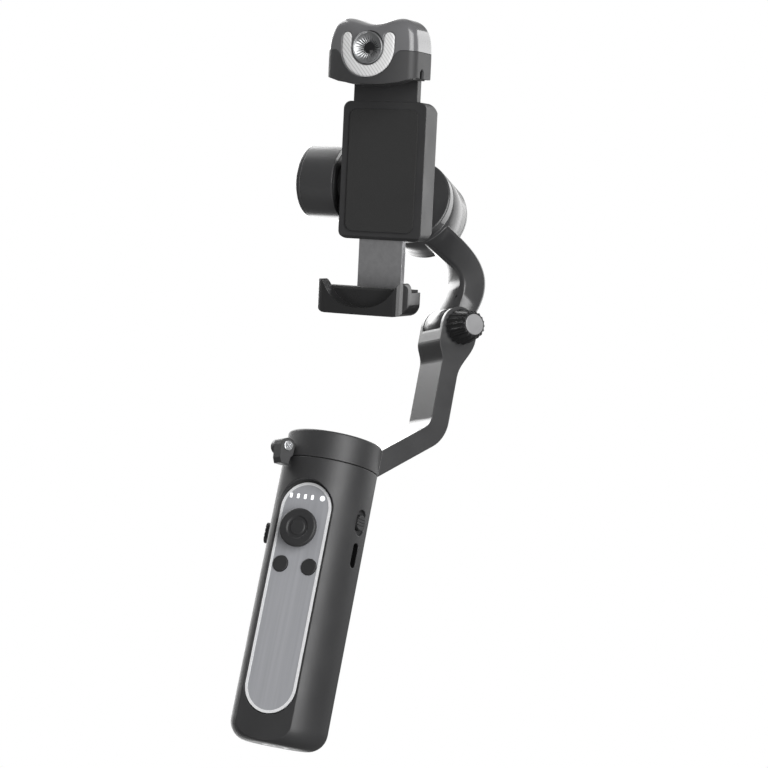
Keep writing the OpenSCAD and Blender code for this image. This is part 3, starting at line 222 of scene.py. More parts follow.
grainValues = {
    "defaults": {"Grain Size": 0.25, "Depth": 0.02, "Softness": 0.3},
    "detail": 4.0, "rough": 0.6, "height": 0.0001, "slowScale": 70.0, "slowDetail": 3.0,
}


def makeGrain():
    # Moulded skin: fine noise of scale 1 / grain size is the bump's height, over a normal rounded at the
    # edges. Slow noise gives a change of tone and roughness.
    v = grainValues
    group, start, end = newGroup("mouldedGrain", v["defaults"], {"Normal": "Vector", "Patch": "Float"})
    place = addNode(group, "TexCoord").outputs["Object"]
    scale = addNode(group, "Math", {0: 1 / mm}, "DIVIDE")
    radius = addNode(group, "Math", {1: mm}, "MULTIPLY")
    fine = addNode(group, "TexNoise", {"Detail": v["detail"], "Roughness": v["rough"]})
    slow = addNode(group, "TexNoise", {"Scale": v["slowScale"], "Detail": v["slowDetail"]})
    bump = addNode(group, "Bump", {"Distance": v["height"]})
    wire(group, [
        (place, fine.inputs["Vector"]), (place, slow.inputs["Vector"]),
        (start["Grain Size"], scale.inputs[1]), (scale.outputs[0], fine.inputs["Scale"]),
        (start["Softness"], radius.inputs[0]),
        (roundedNormal(group, radius.outputs[0]), bump.inputs["Normal"]),
        (fine.outputs["Fac"], bump.inputs["Height"]), (start["Depth"], bump.inputs["Strength"]),
        (bump.outputs["Normal"], end["Normal"]), (slow.outputs["Fac"], end["Patch"])])
    return group


wearValues = {
    "defaults": {"Width": 0.4, "Amount": 0.5}, "scale": 260.0, "detail": 5.0, "near": (0.99, 0.80),
    "broken": (0.42, 0.62),
    # The width for a skin is reach times its softness, or times leastWidth where that is more
    "leastWidth": 0.2, "reach": 1.3,
}


def makeEdgeWear():
    # Amount * near * broken: near grows at an edge, where the rounded normal's dot product with the true one
    # falls below 1, and broken is noise that leaves only rubbed spots of it.
    v = wearValues
    group, start, end = newGroup("edgeWear", v["defaults"], {"Mask": "Float"})
    place = addNode(group, "TexCoord").outputs["Object"]
    noise = addNode(group, "TexNoise", {"Scale": v["scale"], "Detail": v["detail"]})
    radius = addNode(group, "Math", {1: mm}, "MULTIPLY")
    dot = addNode(group, "VectorMath", operation="DOT_PRODUCT")
    spots = addNode(group, "Math", operation="MULTIPLY")
    final = addNode(group, "Math", operation="MULTIPLY")
    wire(group, [
        (place, noise.inputs["Vector"]), (start["Width"], radius.inputs[0]),
        (roundedNormal(group, radius.outputs[0]), dot.inputs[0]),
        (addNode(group, "NewGeometry").outputs["Normal"], dot.inputs[1]),
        (ranged(group, dot.outputs["Value"], *v["near"]), spots.inputs[0]),
        (ranged(group, noise.outputs["Fac"], *v["broken"]), spots.inputs[1]),
        (spots.outputs[0], final.inputs[0]), (start["Amount"], final.inputs[1]),
        (final.outputs[0], end["Mask"])])
    return group


grainGroup = makeGrain()
wearGroup = makeEdgeWear()
noiseSpan = (0.3, 0.7)  # the part of a noise's values that a change of tone or roughness uses


def newMaterial(name):
    # A material with its principled shader.
    material = bpy.data.materials.new(name)
    material.use_nodes = True
    return material, material.node_tree, material.node_tree.nodes["Principled BSDF"]


def useGroup(tree, group, inputs):
    # A copy of a shader group with its values set.
    node = tree.nodes.new("ShaderNodeGroup")
    node.node_tree = group
    for key, value in inputs.items():
        node.inputs[key].default_value = value
    return node.outputs


def mixColour(tree, low, high):
    # A mix of two colours; input 0 is the share, 6 and 7 the colours, output 2 the result.
    node = tree.nodes.new("ShaderNodeMix")
    node.data_type = "RGBA"
    node.inputs[6].default_value = (*low, 1)
    node.inputs[7].default_value = (*high, 1)
    return node


def moulded(name, dark, light, rough=(0.42, 0.55), grain=0.25, depth=0.15, softness=0.3, wear=0.35,
            worn=(0.2, 0.2, 0.2), coat=0.0, coatRough=0.08, metal=0.0, specular=0.5, glow=0.0):
    # A moulded or painted skin: dark and light mixed by the slow noise, then with the worn colour by the
    # edge wear. The roughness runs over its range with the same slow noise.
    material, tree, skin = newMaterial(name)
    skinGrain = useGroup(tree, grainGroup, {"Grain Size": grain, "Depth": depth, "Softness": softness})
    width = max(softness, wearValues["leastWidth"]) * wearValues["reach"]
    rubbed = useGroup(tree, wearGroup, {"Width": width, "Amount": wear})
    tone = mixColour(tree, dark, light)
    rub = mixColour(tree, dark, worn)
    wire(tree, [
        (skinGrain["Patch"], tone.inputs[0]), (tone.outputs[2], rub.inputs[6]),
        (rubbed["Mask"], rub.inputs[0]), (rub.outputs[2], skin.inputs["Base Color"]),
        (skinGrain["Normal"], skin.inputs["Normal"]),
        (ranged(tree, skinGrain["Patch"], *noiseSpan, *rough), skin.inputs["Roughness"])])
    values = {"Coat Weight": coat, "Coat Roughness": coatRough, "Metallic": metal,
              "Specular IOR Level": specular, "Emission Color": (*light, 1), "Emission Strength": glow}
    for key, value in values.items():
        skin.inputs[key].default_value = value
    return material


brushValues = {
    "streak": {"Scale": 2600.0, "Detail": 4.0, "Roughness": 0.7}, "broad": {"Scale": 500.0, "Detail": 2.0},
    "round": 0.12, "height": 0.00003, "streakShare": 0.65, "broadShare": 0.35,
}


def brushed(name, dark, light, along=(1.0, 1.0, 0.02), rough=(0.28, 0.42), metal=0.9, depth=0.12):
    # Brushed metal: noise stretched by along gives streaks in roughness and bump. The tone is
    # streakShare * streak + broadShare * broad.
    v = brushValues
    material, tree, skin = newMaterial(name)
    place = addNode(tree, "TexCoord").outputs["Object"]
    stretch = addNode(tree, "Mapping", {"Scale": along})
    streak = addNode(tree, "TexNoise", v["streak"])
    broad = addNode(tree, "TexNoise", v["broad"])
    bump = addNode(tree, "Bump", {"Strength": depth, "Distance": v["height"]})
    tone = mixColour(tree, dark, light)
    total = addNode(tree, "Math", {1: v["streakShare"]}, "MULTIPLY_ADD")
    wire(tree, [
        (place, stretch.inputs["Vector"]), (stretch.outputs["Vector"], streak.inputs["Vector"]),
        (stretch.outputs["Vector"], broad.inputs["Vector"]), (streak.outputs["Fac"], total.inputs[0]),
        (ranged(tree, broad.outputs["Fac"], *noiseSpan, 0.0, v["broadShare"]), total.inputs[2]),
        (total.outputs[0], tone.inputs[0]), (tone.outputs[2], skin.inputs["Base Color"]),
        (ranged(tree, streak.outputs["Fac"], *noiseSpan, *rough), skin.inputs["Roughness"]),
        (streak.outputs["Fac"], bump.inputs["Height"]),
        (roundedNormal(tree, v["round"] * mm), bump.inputs["Normal"]),
        (bump.outputs["Normal"], skin.inputs["Normal"])])
    skin.inputs["Metallic"].default_value = metal
    return material


charcoal = moulded("charcoalSkin", (0.028, 0.028, 0.029), (0.036, 0.036, 0.037), rough=(0.40, 0.50),
                   grain=0.18, depth=0.22, softness=0.45, worn=(0.11, 0.11, 0.11), wear=0.25)
blackSkin = moulded("blackSkin", (0.020, 0.020, 0.021), (0.027, 0.027, 0.028), rough=(0.42, 0.55),
                    grain=0.12, depth=0.3, softness=0.25, worn=(0.06, 0.06, 0.06), wear=0.3)
armPaint = moulded("armPaint", (0.030, 0.030, 0.031), (0.038, 0.038, 0.039), rough=(0.30, 0.40),
                   grain=0.12, depth=0.15, softness=0.6, worn=(0.16, 0.16, 0.16), wear=0.3, coat=0.9,
                   coatRough=0.2)
knobBlack = moulded("knobBlack", (0.012, 0.012, 0.0125), (0.018, 0.018, 0.0185), rough=(0.24, 0.34),
                    grain=0.15, depth=0.12, softness=0.12, worn=(0.06, 0.06, 0.06), wear=0.35, coat=0.3)
rubber = moulded("rubberSkin", (0.018, 0.018, 0.018), (0.026, 0.026, 0.026), rough=(0.7, 0.85),
                 grain=0.35, depth=0.5, softness=0.3, worn=(0.05, 0.05, 0.05), wear=0.3)
glossGrey = moulded("glossGrey", (0.12, 0.12, 0.124), (0.145, 0.145, 0.15), rough=(0.16, 0.24),
                    grain=0.4, depth=0.03, softness=0.6, worn=(0.25, 0.25, 0.25), wear=0.2, coat=1.0)
matteGrey = moulded("matteGrey", (0.034, 0.034, 0.035), (0.042, 0.042, 0.043), rough=(0.5, 0.6),
                    grain=0.15, depth=0.25, softness=0.4, worn=(0.12, 0.12, 0.12), wear=0.25)
discGrey = moulded("discGrey", (0.30, 0.30, 0.305), (0.36, 0.36, 0.365), rough=(0.3, 0.45),
                   grain=0.15, depth=0.15, softness=0.2, worn=(0.35, 0.35, 0.35), wear=0.3, metal=0.3)
plateMetal = brushed("brushedPlate", (0.34, 0.345, 0.365), (0.47, 0.475, 0.50), metal=0.25)
trimMetal = brushed("brightTrim", (0.80, 0.81, 0.82), (0.92, 0.92, 0.93), along=(1, 1, 1), rough=(0.25, 0.35),
                    metal=0.2)
chrome = brushed("lensChrome", (0.72, 0.73, 0.75), (0.85, 0.86, 0.88), along=(1, 1, 1), rough=(0.15, 0.25))
steel = brushed("turnedSteel", (0.42, 0.42, 0.43), (0.60, 0.60, 0.61), along=(1, 1, 1))
copper = moulded("woundCopper", (0.45, 0.18, 0.07), (0.60, 0.27, 0.11), rough=(0.3, 0.5), metal=0.9,
                 worn=(0.7, 0.4, 0.2))
boardGreen = moulded("boardGreen", (0.012, 0.06, 0.03), (0.02, 0.09, 0.045), rough=(0.35, 0.5),
                     worn=(0.1, 0.2, 0.1))
wrapBlue = moulded("cellWrap", (0.02, 0.12, 0.11), (0.03, 0.16, 0.14), rough=(0.25, 0.4),
                   worn=(0.1, 0.3, 0.3))
milky = moulded("milkyLamp", (0.60, 0.60, 0.60), (0.68, 0.68, 0.68), rough=(0.4, 0.5), grain=0.2,
                depth=0.05, softness=0.15, worn=(0.95, 0.95, 0.95), wear=0.0, glow=0.12)
litLamp = moulded("litLamp", (0.85, 0.87, 0.90), (0.95, 0.96, 0.97), rough=(0.4, 0.5), grain=0.2,
                  depth=0.05, softness=0.1, worn=(0.95, 0.95, 0.95), wear=0.0, glow=0.9)
darkGlass = moulded("darkGlass", (0.004, 0.004, 0.005), (0.007, 0.007, 0.008), rough=(0.05, 0.1),
                    grain=1.0, depth=0.0, softness=0.1, wear=0.0, coat=1.0)
jawBlack = moulded("jawBlack", (0.013, 0.013, 0.0135), (0.019, 0.019, 0.0195), rough=(0.26, 0.36),
                   grain=0.12, depth=0.05, softness=0.12, wear=0.0, coat=0.5, coatRough=0.2)
# Painted shade: a near-black with little gloss, laid in the port, the jack, the arm's small hole and the
# lens's deepest rib ends, where only shade falls
paintedHoleShade = moulded("paintedHoleShade", (0.002, 0.002, 0.002), (0.004, 0.004, 0.004), rough=(0.8, 0.95),
                      grain=0.3, depth=0.1, softness=0.1, wear=0.0, specular=0.1)
lensSatin = brushed("lensSatin", (0.30, 0.305, 0.31), (0.42, 0.425, 0.43), along=(1, 1, 1),
                    rough=(0.30, 0.42), metal=0.85)

hatchValues = {"pitch": 1.0, "dark": 0.68, "across": (0.7, 0.25, 0.7), "from": (0.2, 0.9)}


def addHatching(material):
    # Slanting lines under a lamp's cover: a sine of the place's part across them, one wave to a pitch, takes
    # the colour down towards dark where it is high.
    v = hatchValues
    tree = material.node_tree
    skin = tree.nodes["Principled BSDF"].inputs["Base Color"]
    colour = skin.links[0].from_socket
    across = addNode(tree, "VectorMath", {1: v["across"]}, "DOT_PRODUCT")
    turn = addNode(tree, "Math", {1: 2 * math.pi / (v["pitch"] * mm)}, "MULTIPLY")
    wave = addNode(tree, "Math", operation="SINE")
    product = addNode(tree, "VectorMath", operation="SCALE")
    wire(tree, [
        (addNode(tree, "TexCoord").outputs["Object"], across.inputs[0]),
        (across.outputs["Value"], turn.inputs[0]),
        (turn.outputs[0], wave.inputs[0]), (colour, product.inputs[0]),
        (ranged(tree, wave.outputs[0], *v["from"], 1.0, v["dark"]), product.inputs["Scale"]),
        (product.outputs["Vector"], skin)])


addHatching(milky)

nodeMaterials = {
    charcoal: ["handle_tube", "pan_cap", "fold_hook", "clamp_body", "upper_jaw"],
    jawBlack: ["lower_jaw"],
    matteGrey: ["tracker_base"],
    blackSkin: ["pad_housing", "joystick_socket", "joystick_cap", "left_button", "right_button",
                "power_slider", "zoom_slider", "lock_knob", "clamp_cover", "battery_tray",
                "pan_motor_base"],
    armPaint: ["lower_arm", "upper_arm", "roll_cover", "roll_arm", "tilt_cover"],
    rubber: ["back_pad", "upper_pad", "lower_pad"],
    glossGrey: ["tracker_shell"],
    discGrey: ["knob_disc"],
    plateMetal: ["panel_plate"],
    trimMetal: ["panel_border"],
    chrome: ["lens_ring", "hook_screw"],
    # The USB port's opening is painted black as the shade inside it
    paintedHoleShade: ["usb_port"],
    steel: ["tripod_insert", "joystick_rocker", "joystick_stem", "pan_bearings",
            "pan_shaft", "pan_magnets", "hinge_pin", "roll_bearings", "roll_shaft", "roll_magnets",
            "tilt_bearings", "tilt_shaft", "tilt_magnets", "spring_drum", "tracker_magnet",
            "slide_plate"],
    copper: ["pan_stator", "roll_stator", "tilt_stator"],
    boardGreen: ["main_board", "panel_board"],
    wrapBlue: ["battery_cell"],
    milky: ["light_ring"],
    litLamp: ["battery_lamps", "mode_lamp"],
    darkGlass: ["lens_glass"],
}


def dressNodes():
    # Each solid gets its finish in all its slots.
    for material, names in nodeMaterials.items():
        for name in names:
            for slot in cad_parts[name].material_slots:
                slot.material = material


dressNodes()
print("materials")

# Own pieces: surfaces worked out with numpy on grids of points, in millimetres


def gridFaces(rows, columns, around):
    # Corner numbers of a grid's quads, where corner (i, j) has number i * columns + j.
    # With around, the last row joins the first.
    i = np.arange(rows if around else rows - 1)[:, None]
    j = np.arange(columns - 1)[None, :]
    k = (i + 1) % rows
    quads = np.stack([i * columns + j, k * columns + j, k * columns + j + 1, i * columns + j + 1], -1)
    return quads.reshape(-1, 4)


def makeSurface(name, grids, materials, body, stands):
    # One object from grids, each (points, around, material number, inside point).
    # A grid is turned over where its faces look towards its inside point. The object rides on body and
    # stands for the solids named in stands.
    points, faces, kinds, start = [], [], [], 0
    for grid, around, kind, inside in grids:
        rows, columns = grid.shape[:2]
        quads = gridFaces(rows, columns, around)
        flat = grid.reshape(-1, 3)
        a, b, c, d = (flat[quads[:, n]] for n in range(4))
        out = np.einsum("ij,ij->i", np.cross(c - a, d - b), (a + b + c + d) / 4 - np.asarray(inside))
        if out.sum() < 0:
            quads = quads[:, ::-1]
        points.append(flat)
        faces.append(quads + start)
        kinds.append(np.broadcast_to(kind, len(quads)))
        start += len(flat)
    points = np.concatenate(points) * mm
    faces = np.concatenate(faces)
    mesh = bpy.data.meshes.new(name)
    mesh.from_pydata(points.tolist(), [], faces.tolist())
    for material in materials:
        mesh.materials.append(material)
    mesh.polygons.foreach_set("material_index", np.concatenate(kinds).astype(np.int32))
    mesh.polygons.foreach_set("use_smooth", np.ones(len(faces), dtype=bool))
    mesh.update()
    piece = bpy.data.objects.new(name, mesh)
    bpy.context.scene.collection.objects.link(piece)
    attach(piece, body)
    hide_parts(*stands)


def revolve(profile, origin, axis, count=128, ripple=None):
    # A profile of (radius, height) turned about an axis: origin + radius * (cos, sin) + height * axis.
    # ripple(angle, radius) is taken off the radius.
    profile = np.asarray(profile, float)
    axis = unit(np.asarray(axis, float))
    side = unit(np.cross(axis, (0, 0, 1) if abs(axis[2]) < 0.9 else (1, 0, 0)))
    up = np.cross(axis, side)
    angle = np.linspace(0, 2 * np.pi, count, endpoint=False)[:, None]
    radius = profile[None, :, 0] - (ripple(angle, profile[None, :, 0]) if ripple else 0)
    turned = np.cos(angle)[..., None] * side + np.sin(angle)[..., None] * up
    return np.asarray(origin) + radius[..., None] * turned + profile[None, :, 1, None] * axis


def smoothStep(value, low, high):
    # t^2 (3 - 2t), where t goes from 0 at low to 1 at high.
    t = np.clip((value - low) / (high - low), 0, 1)
    return t * t * (3 - 2 * t)


def unit(vectors):
    # Each vector over its length.
    return vectors / np.linalg.norm(vectors, axis=-1, keepdims=True)


def runAlong(points):
    # The length of a line of points up to each of them: the sum of the steps before it.
    return np.concatenate([[0], np.cumsum(np.linalg.norm(np.diff(points, axis=0), axis=1))])


def resample(points, count):
    # Points at equal steps of the length along a line of points.
    points = np.asarray(points, float)
    run = runAlong(points)
    at = np.linspace(0, run[-1], count)
    return np.stack([np.interp(at, run, points[:, k]) for k in range(points.shape[1])], -1)


def arcPoints(x, y, r, low, high, count):
    # (x + r cos, y + r sin) from one angle to another, in degrees.
    angle = np.radians(np.linspace(low, high, count))
    return np.stack([x + r * np.cos(angle), y + r * np.sin(angle)], -1)


# Tracking module: in the clamp's own axes x is across, y back through the clamp, z up from its upper edge

clampValues = {"tilt": 20.4, "y": 9.2, "z": 217.2, "edge": 38.8}
trackerValues = {
    # Outline from above
    "width": 36.0, "aside": -0.5, "front": -31.95, "back": -11.5, "bow": 3.5, "corner": 4.0,
    "backCorner": 2.5,
    # Heights, and the power of the dome's superellipse
    "height": 21.7, "valley": 0.92, "hump": 1.035, "humpAt": 12.5, "humpPast": 1.25, "dome": 5.2,
    # Parting line and the seam below it
    "split": 10.1, "splitBack": 8.0, "fieldR": 10.9, "shoulder": 2.4, "tuck": 0.5, "sweep": 0.45,
    "seam": 0.12, "seamIn": 0.96,
    # Hole for the lens and groove for the lamp, in the front's middle
    "lensUp": 10.8, "lensR": 5.9, "holeEdge": (0.08, 0.3), "holeDeep": 3.4, "grooveEdge": (0.03, 0.22),
    "grooveDeep": 0.6, "faceDeep": 6.0, "faceHalf": 13.0,
    # Lamp: a U of two legs and half a ring
    "ringAt": -0.45, "ringOut": 10.6, "ringIn": 6.45, "ringTop": 5.7, "overlap": 0.01,
    "lampEdge": 0.45, "lampPower": 8, "lampProud": 0.02,
    # Foot line as shares of the half width and of the height, and the room for the clamp's end
    "footShares": ((0, -0.115), (0.33, -0.11), (0.66, -0.07), (0.93, -0.005), (1, 0.02)),
    "roomHalf": 16.0, "roomFront": -26.5, "roomTop": 2.63, "rise": (2.5, 0.4),
    # Jack in the side; its faces are painted black as the shade in the hole
    "jackFront": -23.6, "jackWide": 3.0, "jackHigh": 4.0, "jackDeep": 0.6, "jackSlope": 2.2,
    "jackBeyond": 17.0,
    # Points inside and ahead of the module, and grid sizes
    "insideUp": 9.0, "aheadAt": -40.0,
    "arcSteps": 40, "cornerSteps": 24, "frontSteps": 270, "restSteps": 90, "evenSteps": 2000, "domeRows": 96,
    "footRows": 60, "bendSteps": 120, "lampSteps": 260, "lampAcross": 25,
}
trackerMiddle = (trackerValues["front"] + trackerValues["back"]) / 2


def toClamp(points):
    # Points of the module's axes, turned by the clamp's tilt about x and moved to its place.
    turn = math.radians(clampValues["tilt"])
    x, y, z = np.moveaxis(np.asarray(points, float), -1, 0)
    z = z + clampValues["edge"]
    return np.stack([x + trackerValues["aside"], y * math.cos(turn) - z * math.sin(turn) + clampValues["y"],
                     y * math.sin(turn) + z * math.cos(turn) + clampValues["z"]], -1)


def bowRadius():
    # The bowed front's radius from half its chord and its bow: (half^2 + bow^2) / (2 bow).
    half, bow = trackerValues["width"] / 2, trackerValues["bow"]
    return (half ** 2 + bow ** 2) / (2 * bow)


def trackerPlan():
    # The outline from above, from the back's middle round by the front: a bowed front, round corners tangent
    # to it and to the straight sides, and the back's corners. The right half is worked out and mirrored.
    v = trackerValues
    half, last = v["width"] / 2, v["backCorner"]
    r = bowRadius()
    x = half - v["corner"]
    y = v["front"] + r - math.sqrt((r - v["corner"]) ** 2 - x ** 2)
    turn = math.degrees(math.asin(x / (r - v["corner"])))
    right = np.concatenate([
        arcPoints(0, v["front"] + r, r, -90, turn - 90, v["arcSteps"]),
        arcPoints(x, y, v["corner"], turn - 90, 0, v["cornerSteps"]),
        arcPoints(half - last, v["back"] - last, last, 0, 90, v["cornerSteps"]), [[0, v["back"]]]])
    frontEnd = v["arcSteps"] + v["cornerSteps"]
    front = resample(right[:frontEnd], v["frontSteps"])
    rest = resample(right[frontEnd - 1:], v["restSteps"])
    right = np.concatenate([front, rest[1:]])
    left = right[:0:-1] * (-1, 1)
    return np.concatenate([left, right])


def crest(x):
    # The top line: a valley in the middle that rises as sin^2 to a hump on each side, then falls a little.
    v = trackerValues
    share = np.clip(np.abs(x) / v["humpAt"], 0, v["humpPast"])
    return v["height"] * (v["valley"] + (v["hump"] - v["valley"]) * np.sin(np.pi / 2 * share) ** 2)


def narrowing(share):
    # How far the outline draws in at a share of the height: a superellipse, (1 - share^n)^(1/n).
    n = trackerValues["dome"]
    return (1 - np.clip(share, 0, 1) ** n) ** (1 / n)


def partingLine(plan):
    # The shell's lower edge: level at the sides and the back, in front a circle round the lens that blends
    # into the level by a smooth step to a power.
    v = trackerValues
    r = v["fieldR"]
    x = np.abs(plan[:, 0] - v["ringAt"])
    circle = v["lensUp"] - np.sqrt(np.clip(r ** 2 - x ** 2, 0, None))
    blend = smoothStep(x, r - v["tuck"], r + v["shoulder"])
    low = np.where(x < r - v["tuck"], circle, v["lensUp"] - math.sqrt(r ** 2 - (r - v["tuck"]) ** 2))
    isFront = plan[:, 1] < v["front"] + v["splitBack"]
    return np.where(isFront, low + (v["split"] - low) * blend ** v["sweep"], v["split"])


def frontAt(x, z):
    # The y of the module's skin at a point of its front: the bow, drawn in by the narrowing at that height.
    v = trackerValues
    r = bowRadius()
    k = narrowing(z / crest(x))
    return trackerMiddle + (v["front"] + r - np.sqrt(r ** 2 - (x / k) ** 2) - trackerMiddle) * k


def frontCut(x, z):
    # How deep the front is cut: the lens's hole where the distance to its middle is small, and the lamp's
    # groove where the distance to a U (half a ring and two legs with round ends) is small.
    v = trackerValues
    radius = np.hypot(x, z - v["lensUp"])
    hole = 1 - smoothStep(radius, *(v["lensR"] + edge for edge in v["holeEdge"]))
    side = x - v["ringAt"]
    ring = (v["ringOut"] + v["ringIn"]) / 2
    half = (v["ringOut"] - v["ringIn"]) / 2
    leg = np.abs(np.abs(side) - ring)
    capZ = v["lensUp"] + v["ringTop"] - half
    bowl = np.maximum(np.abs(np.hypot(side, z - v["lensUp"]) - ring) - half, z - v["lensUp"])
    legs = np.maximum(np.where(z > capZ, np.hypot(leg, z - capZ), leg) - half, v["lensUp"] - z - v["overlap"])
    groove = 1 - smoothStep(np.minimum(bowl, legs), *v["grooveEdge"])
    return v["holeDeep"] * hole + v["grooveDeep"] * groove * (1 - hole)


def makeDome(plan, low, inside):
    # The shell: at a share g of the height the plan is drawn in by narrowing(g) and stands at g * crest(x).
    # The rows have equal steps along the side's curve, from the parting line to the top.
    v = trackerValues
    middle = np.array([0.0, trackerMiddle])
    share = np.linspace(0, 1, v["evenSteps"])
    run = runAlong(np.stack([narrowing(share), 2 * share], -1))
    start = np.interp(low / crest(plan[:, 0]), share, run)
    at = start[:, None] + (run[-1] - start[:, None]) * np.linspace(0, 1, v["domeRows"])[None, :]
    g = np.interp(at, run, share)
    xy = middle + (plan[:, None, :] - middle) * narrowing(g)[..., None]
    x, y = xy[..., 0], xy[..., 1]
    z = g * crest(x)
    ahead = (y < v["front"] + v["faceDeep"]) & (np.abs(x) < v["faceHalf"])
    shell = toClamp(np.stack([x, y + ahead * frontCut(x, z), z], -1))
    makeSurface("trackerDome", [(shell, True, 0, inside)], [glossGrey], "clamp", ["tracker_shell"])


def makeFoot(plan, low, inside):
    # The wall: at each height of the foot the plan is drawn in by the same narrowing. The jack is pushed into
    # it under a pointed roof, and its faces are painted black as the shade in the hole. A seam closes the top,
    # a floor and a room's wall the underside.
    v = trackerValues
    middle = np.array([0.0, trackerMiddle])
    footX, footZ = np.array(v["footShares"]).T * ((v["width"] / 2,), (v["height"],))
    bottom = np.interp(np.abs(plan[:, 0]), footX, footZ)
    rise = smoothStep(plan[:, 1], *(v["back"] - before for before in v["rise"]))
    foot = bottom + (v["roomTop"] - bottom) * rise
    z = foot[:, None] + (low[:, None] - v["seam"] - foot[:, None]) * np.linspace(0, 1, v["footRows"])[None, :]
    k = narrowing(np.clip(z, 0, None) / crest(plan[:, 0])[:, None])
    xy = middle + (plan[:, None, :] - middle) * k[..., None]
    along = (xy[..., 1] - v["jackFront"]) / v["jackWide"] - 0.5
    roof = v["jackHigh"] - v["jackSlope"] * np.abs(along)
    notch = (xy[..., 0] > v["jackBeyond"]) & (np.abs(along) < 0.5) & (z < roof)
    wall = np.stack([xy[..., 0] - v["jackDeep"] * notch, xy[..., 1], z], -1)
    # Faces inside the jack, given the painted shade
    jackShadeFaces = (notch & np.roll(notch, -1, 0))[:, :-1].reshape(-1)
    seam = np.repeat(wall[:, -1:, :], 2, 1)
    seam[:, 1, :2] = middle + (seam[:, 1, :2] - middle) * v["seamIn"]
    roomX = np.clip(plan[:, 0], -v["roomHalf"], v["roomHalf"])
    room = np.stack([roomX, np.maximum(plan[:, 1], v["roomFront"])], -1)
    outer = np.concatenate([wall[:, 0, :2], foot[:, None]], 1)
    inner = np.concatenate([room, foot[:, None]], 1)
    top = np.concatenate([room, np.full((len(plan), 1), v["roomTop"])], 1)
    makeSurface("trackerFoot", [
        (toClamp(wall), True, jackShadeFaces.astype(int), inside),
        (toClamp(seam), True, 0, toClamp((0, trackerMiddle, 0))),
        (toClamp(np.stack([outer, inner], 1)), True, 0, inside),
        (toClamp(np.stack([inner, top], 1)), True, 0, toClamp((0, v["aheadAt"], 0)))],
        [matteGrey, paintedHoleShade], "clamp", ["tracker_base"])


def makeLamp(inside):
    # A strip along the U, as wide as a half circle allows near its ends, laid on the front's skin. Its edges
    # turn in by the distance from the middle to a high power.
    v = trackerValues
    ring = (v["ringOut"] + v["ringIn"]) / 2
    half = (v["ringOut"] - v["ringIn"]) / 2
    top = v["lensUp"] + v["ringTop"]
    bend = arcPoints(0, v["lensUp"], ring, -180, 0, v["bendSteps"])
    line = resample(np.concatenate([[[-ring, top]], bend, [[ring, top]]]), v["lampSteps"]) + (v["ringAt"], 0)
    way = unit(np.gradient(line, axis=0))
    across = np.stack([-way[:, 1], way[:, 0]], -1)
    run = runAlong(line)
    near = np.minimum(run, run[-1] - run)
    wide = half * np.sqrt(np.clip(1 - np.clip(1 - near / half, 0, 1) ** 2, 0, 1))
    t = np.linspace(-1, 1, v["lampAcross"])
    flat = line[:, None, :] + across[:, None, :] * (wide[:, None] * t)[..., None]
    y = frontAt(flat[..., 0], flat[..., 1]) + v["lampEdge"] * np.abs(t) ** v["lampPower"] - v["lampProud"]
    lamp = toClamp(np.stack([flat[..., 0], y, flat[..., 1]], -1))
    makeSurface("lightRing", [(lamp, False, 0, inside)], [milky], "clamp", ["light_ring"])


def makeTracker():
    # The three pieces of the module from one outline and one parting line.
    plan = trackerPlan()
    low = partingLine(plan)
    inside = toClamp((0, trackerMiddle, trackerValues["insideUp"]))
    makeDome(plan, low, inside)
    makeFoot(plan, low, inside)
    makeLamp(inside)


# Lens: a satin cone with fine ribs that run together at the pupil

lensValues = {
    "front": -32.4, "radius": 5.9, "rim": 0.5, "bevel": 0.12, "lip": 0.25, "pupil": 2.1, "depth": 2.3,
    "bend": 0.8, "back": 3.0, "ribs": 26, "ribDepth": 0.16,
    # Painted shade at the ribs' deep inner ends, as spikes: their length, its mean and change, the waves of
    # that change, and their width
    "spike": 2.2, "spikeMean": 0.72, "spikeChange": 0.28, "spikeWaves": (7, 4), "spikeTurn": 1.0,
    "spikeEdge": (0.1, 0.8), "spikeLeast": 0.2,
    # Glass, a point behind the lens, and grid sizes
    "glassOver": 0.05, "crown": 0.5, "behind": 12.0, "around": 360, "inward": 40, "glassRings": 12,
}


